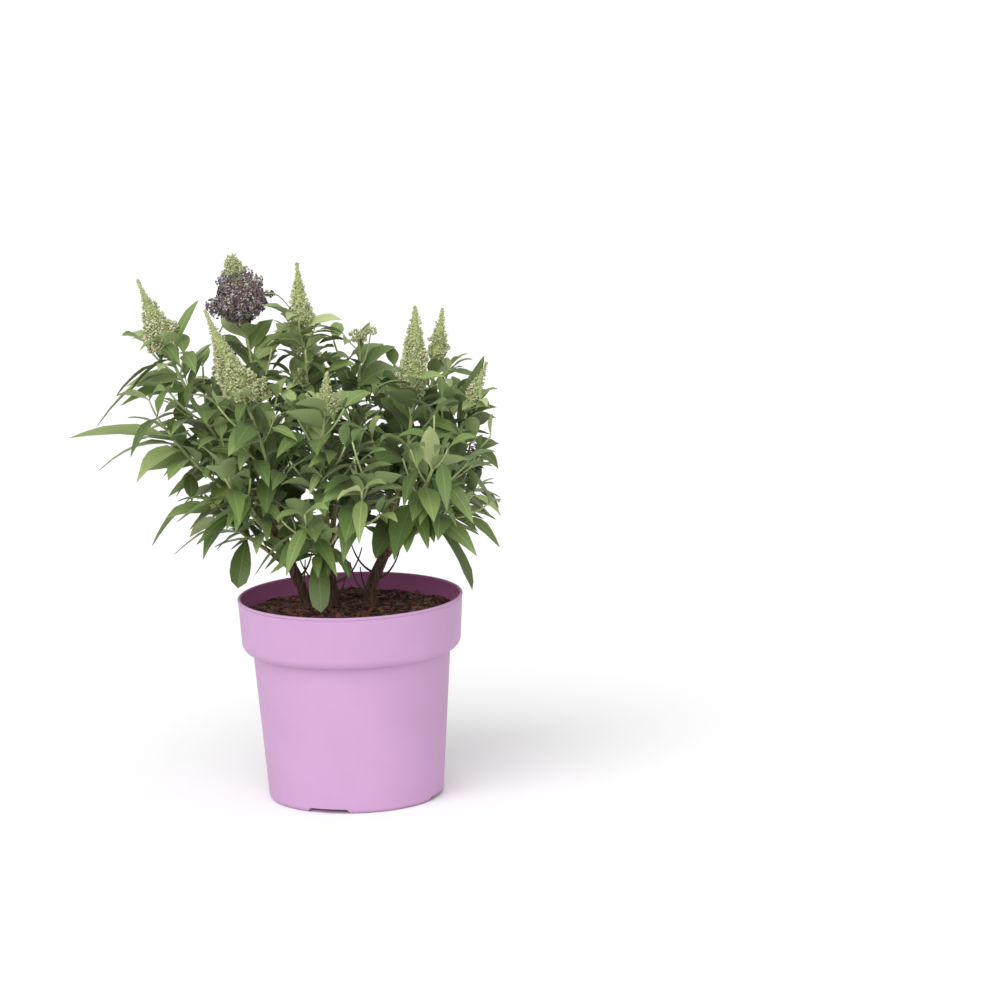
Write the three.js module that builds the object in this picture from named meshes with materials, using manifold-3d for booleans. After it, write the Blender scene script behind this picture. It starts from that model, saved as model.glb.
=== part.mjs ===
// A butterfly bush in a round plastic nursery pot: three woody stems, the boughs that fork from them, and on
// each bough one leafy shoot with opposite leaves, side twigs and a flower spike at its tip.
// Millimetres, +Z up, -Y is the front. The origin is the middle of the pot's flat underside.
import * as THREE from "three";
import { mergeVertices } from "three/addons/utils/BufferGeometryUtils.js";
import Module from "manifold-3d";

const wasm = await Module();
wasm.setup();

// ---------------------------------------------------------------- driving dimensions

const GAP = 0.3; // clearance between touching pieces

const POT = {
  height: 172,
  rimRadius: 95, // outside of the lip
  bandTop: 94.6, // outside of the rim band, under the lip
  bandFoot: 92.4,
  bandHeight: 37,
  corner: 9, // height of the rounded corner under the band
  neckRadius: 83.2, // outside of the body, under the band
  heelRadius: 74, // outside of the body, above its rounded foot
  heelRound: 7,
  wall: 1.6,
  floor: 5,
  lip: 2.6,
  sides: 32,
};
const NOTCH = { count: 4, turn: -108, width: 36, depth: 9, height: 4 }; // drain notches in the heel
const DRAIN = { count: 4, radius: 4.5, circle: 48, sides: 6 }; // drain holes through the floor

const SOIL = { middle: 159, edge: 155.5, relief: 2.2, flat: 0.64 };

// Woody stems: foot on the soil, the way it leans to its fork, radii at the foot and at the fork.
const STEMS = {
  left: { foot: [-38, 12], fork: [-56, 2, 216], radius: 5, forkRadius: 3.4 },
  middle: { foot: [-14, 16], fork: [-17, 8, 210], radius: 4, forkRadius: 2.8 },
  right: { foot: [16, 10], fork: [35, 8, 216], radius: 5.9, forkRadius: 4 },
};
const STEM_FLARE = { height: 9, factor: 1.5 }; // the foot widens by this factor over this height

const SHOOT = {
  leaves: [0.62, 0.98], // where shoots leave their woody stem, as shares of its length
  low: 40, // a shoot whose tip is less than this above the fork leaves its stem lower
  lowShare: 0.8,
  spread: 0.3, // how far it first goes outwards and upwards, as shares of its way to the tip
  rise: 0.4,
  straight: 0.36, // share of its way that lies in line with its spike
  bare: 0.27, // share of a shoot's length that is bough
  boughRadius: 2.5,
  stemRadius: 2.1,
  tipRadius: 1.5,
  boughSides: 5,
  stemSides: 4, // young shoots are four-angled
  nodeSpacing: 23,
};
const LEAF = {
  heel: 0.14, // where the blade starts, from its root
  length: 66, // at the middle of a shoot
  topLength: 52, // under the flower spike
  width: 0.35, // share of the length
  widthSway: 0.25, // a leaf is up to this share wider or narrower
  widest: 0.42, // where the blade is widest, from its root
  thickness: 0.9,
  stalk: 0.5, // half width of the leaf stalk, in the stem
  openAngle: 64, // from the shoot to the leaf's first direction, in degrees
  tipAngle: 26, // the same, for the last pair of a shoot with no spike
  droop: 0.52, // fall of the tip, as a share of the length
  roll: 34, // most that a blade is rolled about its midrib, in degrees
};
const TWIG = {
  chance: 0.5, // of a twig in a leaf's axil
  length: 62,
  radius: 1.3,
  tipRadius: 1.1,
  openAngle: 40,
  beside: 28, // turn of a twig from the leaf that it grows over, in degrees
  above: 3, // height of its root over the leaf's
  lift: 0.45, // how far its outer half turns up
  spacing: 19, // between its pairs of leaves
  leaf: 0.66, // length of its leaves, as a share of the shoot's
  leafAngle: 60,
  tipAngle: 38,
  droop: 0.85, // share of the droop of the shoot's own leaves
  stalk: 0.35,
};
// Flower spikes: height of a whorl, how far it pinches in, radius of the stem inside, and the usual outline.
const SPIKE = { whorl: 13, pinch: 0.7, sides: 5, core: 1.7, full: 0.75, taper: 1 };

// Half the width of the open bloom at shares of its height, as a share of half its greatest width.
const BLOOM = [
  [0, 0.3],
  [0.04, 0.5],
  [0.1, 0.78],
  [0.2, 1],
  [0.42, 0.92],
  [0.59, 0.7],
  [0.73, 0.48],
  [0.87, 0.3],
  [0.95, 0.17],
  [1, 0.08],
];

// Furthest that leaves reach. Over the pot they keep above low, and outside its rim that height rises. The
// long leaves may hang down to overSoil above the soil and rise to high.
const CROWN = {
  left: -232,
  right: 130,
  front: -132,
  back: 130,
  low: 198,
  high: 434,
  rise: 0.72,
  overSoil: 10,
};
const UNDER_TIP = 40; // but leaves may hang at least this far under their shoot's tip
const ABOVE_TIP = 22; // and as a rule rise at most this far above the foot of their shoot's spike
const LAST_NODE = 0.985; // share of a stem's length at its last pair of leaves
const MARGIN = 1.6; // a leaf stays this much nearer to its own shoot than to any other
const LIMB_CLEAR = 2.2; // and this far from every bough and stem
const SEED = 4.7;

// Each shoot: the woody stem that bears it, the tip of its leafy stem, and its flower spike's top and width.
// A spike narrows over the share full of its height, by the power taper, and full is 0 for the open bloom.
// low, above and thin say how low a shoot's leaves may hang, how far they may rise above its tip and what
// share of them is missing.
const SHOOTS = [
  {
    name: "left_spike",
    on: "left",
    tip: [-143, -20, 386],
    top: [-166, -24, 448],
    width: 28,
    full: 0.78,
    taper: 1.3,
  },
  {
    name: "purple_bloom",
    on: "left",
    tip: [-82, 30, 401],
    top: [-91, 32, 460],
    width: 52,
    full: 0,
    above: 4,
  },
  {
    name: "front_spike",
    on: "left",
    tip: [-80, -60, 352],
    top: [-109, -68, 428],
    width: 31,
    full: 0.8,
    taper: 1.3,
  },
  {
    name: "middle_spike",
    on: "middle",
    tip: [-33, 10, 400],
    top: [-35, 10, 453],
    width: 20,
    full: 0.85,
    taper: 1.15,
  },
  {
    name: "right_spike",
    on: "right",
    tip: [59, -20, 347],
    top: [63, -20, 420],
    width: 24,
    full: 0.72,
    taper: 0.8,
  },
  { name: "right_back_spike", on: "right", tip: [78, 34, 364], top: [85, 40, 407], width: 18, above: 6 },
  { name: "front_small_spike", on: "middle", tip: [-14, -70, 338], top: [-10, -76, 375], width: 15 },
  { name: "edge_spike", on: "right", tip: [104, -4, 326], top: [121, -4, 368], width: 14 },
  {
    name: "middle_top",
    on: "middle",
    tip: [14, 24, 376],
    top: [14, 22, 391],
    width: 22,
    full: 0.6,
    taper: 0.5,
  },
  { name: "dried_bloom", on: "right", tip: [99, 40, 264], top: [108, 44, 304], width: 24, thin: 0.3 },
  { name: "far_left", on: "left", tip: [-146, -29, 322], low: 299 },
  { name: "low_left_front", on: "left", tip: [-98, -58, 286] },
  { name: "low_left", on: "left", tip: [-108, -14, 250] },
  { name: "low_right", on: "right", tip: [86, -26, 250], low: 214, thin: 0.3 },
  { name: "right_front", on: "right", tip: [74, -64, 290], low: 214 },
  { name: "front_middle", on: "middle", tip: [20, -84, 280], low: 204 },
  { name: "front_low", on: "middle", tip: [-30, -68, 244], thin: 0.3 },
  { name: "back_left_spike", on: "left", tip: [-100, 80, 328], top: [-112, 92, 378], width: 21 },
  { name: "back_middle_spike", on: "middle", tip: [-26, 88, 332], top: [-29, 102, 386], width: 22 },
  { name: "back_right_spike", on: "right", tip: [46, 84, 318], top: [52, 97, 366], width: 20 },
  { name: "back_right", on: "right", tip: [84, 80, 262], thin: 0.3 },
  { name: "far_back_left", on: "left", tip: [-112, 48, 288] },
  { name: "back_low", on: "middle", tip: [4, 90, 250] },
  { name: "back_low_left", on: "left", tip: [-66, 90, 254] },
];

// Single leaves that reach out furthest: their shoot, their share along it, and where their tips lie.
const LONG_LEAVES = [
  { on: "far_left", share: 0.95, tip: [-228, -38, 319], width: 15, droop: 0.2, roll: 48 },
  { on: "far_left", share: 0.88, tip: [-206, -24, 287], width: 14, droop: 0.6, roll: -10 },
  { on: "left_spike", share: 0.9, tip: [-206, -28, 324], width: 13, droop: 0.75, roll: 8 },
  { on: "left_spike", share: 0.97, tip: [-178, -34, 352], width: 12, droop: 0.6, roll: 20 },
  { on: "left_spike", share: 0.985, tip: [-117, -8, 427], width: 8, droop: 0.3, roll: 40 },
  { on: "middle_spike", share: 0.985, tip: [-61, 4, 429], width: 8, droop: 0.5, roll: 0 },
  { on: "middle_spike", share: 0.985, tip: [-4, 4, 397], width: 9, droop: 0.4, roll: 10 },
  { on: "middle_spike", share: 0.97, tip: [-57, 6, 396], width: 10, droop: 0.4, roll: -10 },
  { on: "edge_spike", share: 0.85, tip: [119, 8, 371], width: 16, droop: 0.1, roll: 20 },
  { on: "low_left", share: 0.84, tip: [-146, -22, 214], width: 14, droop: 0.35, roll: 10 },
  { on: "low_left", share: 0.6, tip: [-92, -38, 188], width: 17, droop: 0.7, roll: 0 },
  { on: "low_right", share: 0.72, tip: [103, -34, 180], width: 19, droop: 0.6, roll: -12 },
  { on: "front_low", share: 0.6, tip: [-22, -74, 173], width: 18, droop: 0.7, roll: 4 },
  { on: "right_front", share: 0.6, tip: [40, -78, 216], width: 24, droop: 0.6, roll: 0 },
];

const COLOURS = {
  pot: { color: 0xc893cb, roughness: 0.42 },
  soil: { color: 0x3a261c, roughness: 1 },
  bark: { color: 0x5b4334, roughness: 0.95 },
  bough: { color: 0x7a7f4f, roughness: 0.8 },
  leaf: { color: 0x4c6b3a, roughness: 0.7 },
};

// ---------------------------------------------------------------- small helpers

const UP = new THREE.Vector3(0, 0, 1);

function vec(point) {
  return new THREE.Vector3(point[0], point[1], point[2]);
}

// A repeatable fraction from 0 to 1 for one property of one place on one shoot.
function chance(shoot, place, property) {
  const wave = Math.sin(shoot * 12.9898 + place * 78.233 + property * 37.719 + SEED) * 43758.5453;
  return wave - Math.floor(wave);
}

// The same, from -1 to 1.
function sway(shoot, place, property) {
  return 2 * chance(shoot, place, property) - 1;
}

// A three.js geometry as a manifold solid, with only positions left and shared vertices merged.
function solid(geometry) {
  const bare = geometry.index ? geometry.toNonIndexed() : geometry.clone();
  bare.deleteAttribute("normal");
  bare.deleteAttribute("uv");
  const merged = mergeVertices(bare, 1e-4);
  const mesh = new wasm.Mesh({
    numProp: 3,
    vertProperties: merged.attributes.position.array,
    triVerts: new Uint32Array(merged.index.array),
  });
  return new wasm.Manifold(mesh);
}

// A manifold solid as a three.js geometry.
function geometryOf(shape) {
  const mesh = shape.getMesh();
  const positions = new Float32Array(mesh.numVert * 3);
  for (let i = 0; i < mesh.numVert; i++) {
    positions.set(mesh.vertProperties.subarray(i * mesh.numProp, i * mesh.numProp + 3), i * 3);
  }
  const geometry = new THREE.BufferGeometry();
  geometry.setAttribute("position", new THREE.BufferAttribute(positions, 3));
  geometry.setIndex(new THREE.BufferAttribute(mesh.triVerts, 1));
  geometry.computeVertexNormals();
  return geometry;
}

// The largest separate body of a solid.
function largest(shape) {
  const bodies = shape.decompose();
  return bodies.reduce((best, body) => (body.volume() > best.volume() ? body : best));
}

// A turned profile of [radius, height] pairs, standing on +Z.
function turned(profile, sides) {
  const points = profile.map(([radius, height]) => new THREE.Vector2(radius, height));
  return new THREE.LatheGeometry(points, sides).rotateX(Math.PI / 2);
}

// A turned profile bent along a curve: a vertex at share t of the height goes to the curve's point at t.
function bent(curve, radii, sides) {
  const steps = radii.length - 1;
  const profile = [[0, 0], ...radii.map((radius, i) => [radius, i / steps]), [0, 1]];
  const geometry = turned(profile, sides);
  const frames = curve.computeFrenetFrames(steps, false);
  const centres = curve.getSpacedPoints(steps);
  const place = geometry.attributes.position;
  for (let i = 0; i < place.count; i++) {
    const step = Math.round(place.getZ(i) * steps);
    const moved = centres[step].clone();
    moved.addScaledVector(frames.normals[step], place.getX(i));
    moved.addScaledVector(frames.binormals[step], place.getY(i));
    place.setXYZ(i, moved.x, moved.y, moved.z);
  }
  return facingOut(geometry);
}

// A solid whose faces all point out: a geometry that is inside out has each face turned.
function facingOut(geometry) {
  const shape = solid(geometry);
  if (shape.volume() > 0) {
    return shape;
  }
  const index = geometry.index.array;
  for (let i = 0; i < index.length; i += 3) {
    [index[i + 1], index[i + 2]] = [index[i + 2], index[i + 1]];
  }
  return solid(geometry);
}

// The radii of a limb at even steps, by a rule of the share along it.
function radiiBy(rule, steps) {
  return Array.from({ length: steps + 1 }, (_, i) => rule(i / steps));
}

function mix(a, b, share) {
  return a + (b - a) * share;
}

// Evenly spaced points on a part of a curve.
function partOf(curve, from, to, steps) {
  return Array.from({ length: steps + 1 }, (_, i) => curve.getPointAt(mix(from, to, i / steps)));
}

// The distance from a point to a chain of points.
function distanceTo(chain, point) {
  const segment = new THREE.Line3();
  const nearest = new THREE.Vector3();
  let least = Infinity;
  for (let i = 0; i + 1 < chain.length; i++) {
    segment.set(chain[i], chain[i + 1]);
    segment.closestPointToPoint(point, true, nearest);
    least = Math.min(least, nearest.distanceTo(point));
  }
  return least;
}

// ---------------------------------------------------------------- pot and soil

const BAND_FOOT = POT.height - POT.bandHeight; // heights
const NECK = BAND_FOOT - POT.corner;

// The wall's outer face from the heel to the lip, as [radius, height].
const OUTER = [
  [POT.heelRadius, POT.heelRound],
  [POT.neckRadius, NECK],
  [mix(POT.neckRadius, POT.bandFoot, 0.7), mix(NECK, BAND_FOOT, 0.3)],
  [POT.bandFoot, BAND_FOOT],
  [POT.bandTop, POT.height - POT.lip],
];

// Its inner face from the floor to the lip, which lies as far above the corner as it lies inside the wall.
const INNER = [
  [POT.heelRadius - POT.wall, POT.floor],
  [OUTER[1][0] - POT.wall, OUTER[1][1] + POT.wall],
  [OUTER[2][0] - POT.wall, OUTER[2][1] + POT.wall],
  [OUTER[3][0] - POT.wall, OUTER[3][1]],
  [OUTER[4][0] - POT.wall, OUTER[4][1]],
];

function potSolid() {
  const heel = [0, 0.5].map((share) => {
    const turn = (share * Math.PI) / 2;
    return [POT.heelRadius - POT.heelRound * (1 - Math.sin(turn)), POT.heelRound * (1 - Math.cos(turn))];
  });
  const lip = [
    [POT.rimRadius, POT.height - POT.lip * 0.6],
    [POT.rimRadius, POT.height],
    [POT.rimRadius - POT.lip, POT.height],
  ];
  const inner = [...INNER].reverse();
  const profile = [[0, 0], ...heel, ...OUTER, ...lip, ...inner, [0, POT.floor]];
  let pot = solid(turned(profile, POT.sides));
  for (let i = 0; i < NOTCH.count; i++) {
    const notch = new THREE.BoxGeometry(NOTCH.depth * 2, NOTCH.width, NOTCH.height * 2);
    notch.translate(POT.heelRadius, 0, 0);
    notch.rotateZ(THREE.MathUtils.degToRad(NOTCH.turn + (i * 360) / NOTCH.count));
    pot = pot.subtract(solid(notch));
  }
  for (let i = 0; i < DRAIN.count; i++) {
    const hole = new THREE.CylinderGeometry(DRAIN.radius, DRAIN.radius, POT.floor * 4, DRAIN.sides);
    hole.rotateX(Math.PI / 2);
    hole.translate(DRAIN.circle, 0, 0);
    hole.rotateZ((i * 2 * Math.PI) / DRAIN.count);
    pot = pot.subtract(solid(hole));
  }
  return pot;
}

// The soil fills the pot. Its top is flat in the middle, where the stems stand, and uneven outside that.
function soilSolid() {
  const inset = POT.wall + GAP;
  const slope = (POT.bandTop - POT.bandFoot) / (POT.bandHeight - POT.lip);
  const edgeRadius = POT.bandFoot + (SOIL.edge - BAND_FOOT) * slope - inset;
  const side = INNER.slice(0, 4).map(([radius, height]) => [radius - GAP, height + GAP]);
  side.push([edgeRadius, SOIL.edge]);
  const top = [0.85, SOIL.flat].map((share) => {
    const height = mix(SOIL.edge, SOIL.middle, (1 - share) / (1 - SOIL.flat));
    return [edgeRadius * share, height];
  });
  const profile = [[0, POT.floor + GAP], ...side, ...top, [0, SOIL.middle]];
  const geometry = turned(profile, POT.sides);
  const place = geometry.attributes.position;
  for (let i = 0; i < place.count; i++) {
    const radius = Math.hypot(place.getX(i), place.getY(i));
    if (radius > edgeRadius * (SOIL.flat + 0.05) && place.getZ(i) > SOIL.edge - 1) {
      const turn = Math.atan2(place.getY(i), place.getX(i));
      const inner = radius < edgeRadius * 0.9 ? 1 : 0.2;
      const wave = (Math.sin(turn * 7) + Math.sin(turn * 3 + 1)) / 2;
      place.setZ(i, place.getZ(i) + wave * SOIL.relief * inner);
    }
  }
  return solid(geometry);
}

// ---------------------------------------------------------------- woody stems and boughs

function stemCurve(stem) {
  const foot = new THREE.Vector3(stem.foot[0], stem.foot[1], SOIL.middle + GAP);
  const fork = vec(stem.fork);
  const rise = fork.z - foot.z;
  const low = foot.clone().addScaledVector(UP, rise * 0.35);
  const high = foot.clone().lerp(fork, 0.7);
  return new THREE.CubicBezierCurve3(foot, low, high, fork);
}

function stemRadius(stem, share, height) {
  const flare = Math.max(0, 1 - (share * height) / STEM_FLARE.height);
  return mix(stem.radius, stem.forkRadius, share) * (1 + (STEM_FLARE.factor - 1) * flare * flare);
}

function stemSolid(stem, extra) {
  const curve = stemCurve(stem);
  const height = curve.getLength();
  const rule = (share) => stemRadius(stem, share, height) + extra;
  return bent(curve, radiiBy(rule, 7), 8);
}

// The path of a shoot: out from the woody stem first, then up into the line of its spike.
function shootCurve(shoot, index) {
  const stem = STEMS[shoot.on];
  const tip = vec(shoot.tip);
  const isLow = tip.z < stem.fork[2] + SHOOT.low;
  const along = mix(...SHOOT.leaves, chance(index, 0, 1)) * (isLow ? SHOOT.lowShare : 1);
  const start = stemCurve(stem).getPointAt(along);
  const way = tip.clone().sub(start);
  const aim = shoot.top ? vec(shoot.top).sub(tip).normalize() : way.clone().normalize().lerp(UP, 0.25);
  const { spread, rise, straight } = SHOOT;
  const out = start.clone().add(new THREE.Vector3(way.x * spread, way.y * spread, way.z * rise));
  const before = tip.clone().addScaledVector(aim, -straight * way.length());
  return new THREE.CubicBezierCurve3(start, out, before, tip);
}

// Where a leaf goes: its midrib runs from its root in its first direction and falls towards the tip, and
// its blade is rolled about that direction.
function leafPlan(axis, direction, length, width, droop, roll, stalk) {
  const root = axis.clone().addScaledVector(direction, stalk);
  const at = (share) => {
    const point = root.clone().addScaledVector(direction, length * share);
    return point.addScaledVector(UP, -length * droop * share * share);
  };
  const across = new THREE.Vector3().crossVectors(direction, UP);
  across.normalize().applyAxisAngle(direction, THREE.MathUtils.degToRad(roll));
  return { width, stalk, at, across };
}

// A leaf whose tip is given: its length is the one at which its midrib, as it falls, ends there.
function longLeaf(curve, { share, tip, width, droop, roll }) {
  const root = curve.getPointAt(share);
  const way = vec(tip).sub(root);
  const fall = way.z * droop;
  const rest = 1 - droop * droop;
  const length = (fall + Math.sqrt(fall * fall + rest * way.lengthSq())) / rest;
  const direction = way.addScaledVector(UP, length * droop).divideScalar(length);
  return leafPlan(root, direction, length, width, droop, roll, LEAF.stalk);
}

// What the rules need to know of a shoot: its path, its long leaves, and the lines that its own space
// lies round.
function planShoot(shoot, index) {
  const curve = shootCurve(shoot, index);
  const line = partOf(curve, SHOOT.bare, 1, 12);
  if (shoot.top) {
    line.push(vec(shoot.top));
  }
  const own = LONG_LEAVES.filter((leaf) => leaf.on === shoot.name);
  const longLeaves = own.map((leaf) => longLeaf(curve, leaf));
  const lines = [line, ...longLeaves.map((leaf) => [0.05, 0.4, 0.75, 1].map(leaf.at))];
  const usual = { low: CROWN.low, above: ABOVE_TIP, thin: 0 };
  return { ...usual, ...shoot, index, curve, length: curve.getLength(), lines, longLeaves };
}

function boughSolid(plan, extra) {
  const end = SHOOT.bare - GAP / plan.length;
  const path = new THREE.CatmullRomCurve3(partOf(plan.curve, 0, end, 5));
  const rule = (share) => mix(SHOOT.boughRadius, SHOOT.stemRadius, share) + extra;
  return bent(path, radiiBy(rule, 3), SHOOT.boughSides);
}

const plans = SHOOTS.map(planShoot);

// Every limb and flower spike as a line with a radius, and with the plan of the shoot that it belongs to.
const limbs = [
  ...Object.values(STEMS).map((stem) => ({ line: partOf(stemCurve(stem), 0, 1, 8), radius: stem.radius })),
  ...plans.map((plan) => ({
    line: partOf(plan.curve, 0, SHOOT.bare, 5),
    radius: SHOOT.boughRadius,
    plan,
  })),
  ...plans
    .filter((plan) => plan.top)
    .map((plan) => ({ line: [vec(plan.tip), vec(plan.top)], radius: plan.width / 2, plan })),
];

// ---------------------------------------------------------------- leaves, twigs and spikes

// The points of a leaf that must keep to its shoot's space.
function leafProbes(leaf) {
  const probes = [0.3, 0.55, 0.8, 1].map((share) => leaf.at(share));
  const edge = { [LEAF.widest]: 0.48, 0.68: 0.36 }; // share of the length: share of the width
  for (const [share, reach] of Object.entries(edge)) {
    probes.push(leaf.at(share).addScaledVector(leaf.across, reach * leaf.width));
    probes.push(leaf.at(share).addScaledVector(leaf.across, -reach * leaf.width));
  }
  return probes;
}

// The blade of a leaf without its stalk: the two halves either side of the midrib.
function bladeFaces(leaf) {
  const half = leaf.width / 2;
  const heel = leaf.at(LEAF.heel);
  const left = leaf.at(LEAF.widest).addScaledVector(leaf.across, half);
  const right = leaf.at(LEAF.widest).addScaledVector(leaf.across, -half);
  const tip = leaf.at(1);
  return [new THREE.Triangle(heel, left, tip), new THREE.Triangle(heel, tip, right)];
}

// A level strip along a twig, which stands for it where leaves and twigs are tested against each other.
function ribbonFaces(curve) {
  const { level } = sideways(curve, 0.5);
  const [heel, middle, end] = [0.12, 0.5, 1].map((share) => curve.getPointAt(share));
  const beside = middle.clone().addScaledVector(level, TWIG.radius);
  middle.addScaledVector(level, -TWIG.radius);
  return [new THREE.Triangle(heel, middle, beside), new THREE.Triangle(middle, end, beside)];
}

const ray = new THREE.Ray();
const hit = new THREE.Vector3();

// True where an edge of one set of faces passes through a face of the other.
function edgesPass(faces, others) {
  for (const face of faces) {
    for (const [from, to] of [[face.a, face.b], [face.b, face.c], [face.c, face.a]]) {
      ray.origin.copy(from);
      ray.direction.copy(to).sub(from);
      const length = ray.direction.length();
      ray.direction.divideScalar(length);
      for (const other of others) {
        const found = ray.intersectTriangle(other.a, other.b, other.c, false, hit);
        if (found && found.distanceTo(from) < length) {
          return true;
        }
      }
    }
  }
  return false;
}

function bladesCross(faces, others) {
  return edgesPass(faces, others) || edgesPass(others, faces);
}

// A folded kite: a stalk ring inside the stem, a ring at the widest place, and the tip.
function leafSolid(leaf) {
  const ring = (share, half, depth) => {
    const centre = leaf.at(share);
    const next = leaf.at(share + 0.02).sub(leaf.at(share));
    const up = new THREE.Vector3().crossVectors(leaf.across, next).normalize();
    return [
      centre.clone().addScaledVector(leaf.across, half).addScaledVector(up, depth * 0.5),
      centre.clone().addScaledVector(leaf.across, -half).addScaledVector(up, depth * 0.5),
      centre.clone().addScaledVector(up, -depth * 0.8),
    ];
  };
  const points = [
    ...ring(0, leaf.stalk, leaf.stalk),
    ...ring(LEAF.widest, leaf.width / 2, LEAF.thickness),
    leaf.at(1),
  ];
  const faces = [0, 2, 1];
  for (let i = 0; i < 3; i++) {
    const next = (i + 1) % 3;
    faces.push(i, next, 3 + i, next, 3 + next, 3 + i, 3 + i, 3 + next, 6);
  }
  const geometry = new THREE.BufferGeometry().setFromPoints(points);
  geometry.setIndex(faces);
  return facingOut(geometry);
}

// Half the width of a spike at a share of its height: it swells from the foot, then narrows to the top. An
// open bloom, whose full is 0, follows its own outline.
function spikeHalf(height, { width, full = SPIKE.full, taper = SPIKE.taper }) {
  if (full > 0) {
    const narrow = Math.pow(Math.min(1, (1 - height) / full), taper);
    return (width / 2) * Math.min(1, 0.5 + height * 4) * narrow;
  }
  const upper = Math.max(1, BLOOM.findIndex(([share]) => share >= height));
  const [[low, from], [high, to]] = [BLOOM[upper - 1], BLOOM[upper]];
  return (width / 2) * mix(from, to, (height - low) / (high - low));
}

// A flower spike: whorls of buds that swell and pinch in turn.
function spikeSolid(plan) {
  const base = vec(plan.tip);
  const top = vec(plan.top);
  const way = top.clone().sub(base);
  const start = base.clone().addScaledVector(way, (-SPIKE.core * 2) / way.length());
  const curve = new THREE.LineCurve3(start, top);
  const whorls = Math.max(2, Math.round(way.length() / SPIKE.whorl));
  const rule = (share) => {
    const swell = Math.round(share * whorls * 2) % 2 === 1 ? 1 : SPIKE.pinch;
    return Math.max(SPIKE.core * 0.6, spikeHalf(share, plan) * swell);
  };
  return bent(curve, radiiBy(rule, whorls * 2), SPIKE.sides);
}

// The two sideways directions of a curve at a share, with the first one level.
function sideways(curve, share) {
  const along = curve.getTangentAt(share);
  const level = new THREE.Vector3().crossVectors(along, UP);
  if (level.lengthSq() < 1e-4) {
    level.set(1, 0, 0);
  }
  level.normalize();
  const other = new THREE.Vector3().crossVectors(along, level).normalize();
  return { along, level, other };
}

// The direction that leaves a curve at an opening angle, turned about it by a number of degrees.
function leaving(curve, share, turnDegrees, openDegrees) {
  const { along, level, other } = sideways(curve, share);
  const turn = THREE.MathUtils.degToRad(turnDegrees);
  const open = THREE.MathUtils.degToRad(openDegrees);
  const outward = level.multiplyScalar(Math.cos(turn)).addScaledVector(other, Math.sin(turn));
  const direction = along.multiplyScalar(Math.cos(open)).addScaledVector(outward, Math.sin(open));
  return direction.normalize();
}

// ---------------------------------------------------------------- the rule for each mass

function distanceToLines(plan, point) {
  return Math.min(...plan.lines.map((line) => distanceTo(line, point)));
}

// True where a point is in the shoot's own space: nearer to its lines than to any other's, clear of every
// limb, inside the crown, under high, and above low, which rises outside the pot's rim.
function inOwnSpace(plan, point, low, high) {
  const own = distanceToLines(plan, point);
  for (const other of plans) {
    if (other !== plan && distanceToLines(other, point) < own + MARGIN) {
      return false;
    }
  }
  for (const limb of limbs) {
    if (limb.plan !== plan && distanceTo(limb.line, point) < limb.radius + LIMB_CLEAR) {
      return false;
    }
  }
  const { left, right, front, back } = CROWN;
  const inCrown = point.x > left && point.x < right && point.y > front && point.y < back && point.z < high;
  const outside = Math.max(0, Math.hypot(point.x, point.y) - POT.rimRadius);
  return inCrown && point.z > Math.min(low + CROWN.rise * outside, plan.tip[2] - UNDER_TIP);
}

// Ways of setting a leaf, tried in turn: swung about the stem, made shorter, or held closer to the stem.
const TRIES = [
  { swing: 0, scale: 1, close: 0 },
  { swing: 22, scale: 1, close: 0 },
  { swing: -22, scale: 1, close: 0 },
  { swing: 0, scale: 0.95, close: 16 },
  { swing: 40, scale: 0.95, close: 8 },
  { swing: -40, scale: 0.95, close: 8 },
  { swing: 14, scale: 0.85, close: 26 },
  { swing: -14, scale: 0.85, close: 26 },
  { swing: 30, scale: 0.72, close: 14 },
  { swing: -30, scale: 0.72, close: 14 },
  { swing: 0, scale: 0.6, close: 8 },
];

// Adds a leaf if it keeps to the space and off the leaves before it. Returns whether it does.
function keepLeaf(site, leaf, allows) {
  const blade = bladeFaces(leaf);
  const kept = leafProbes(leaf).every(allows) && !site.blades.some((other) => bladesCross(blade, other));
  if (kept) {
    site.blades.push(blade);
    site.pieces.push(leafSolid(leaf));
  }
  return kept;
}

// Adds a leaf, set in the first way that keeps to the space and off the leaves before it, or none.
function placeLeaf(site, curve, share, kind) {
  for (const { swing, scale, close } of TRIES) {
    const direction = leaving(curve, share, kind.turn + swing, kind.open - close);
    const size = kind.length * scale;
    const axis = curve.getPointAt(share);
    const leaf = leafPlan(axis, direction, size, size * kind.width, kind.droop, kind.roll, kind.stalk);
    if (keepLeaf(site, leaf, site.allows)) {
      return;
    }
  }
}

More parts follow.
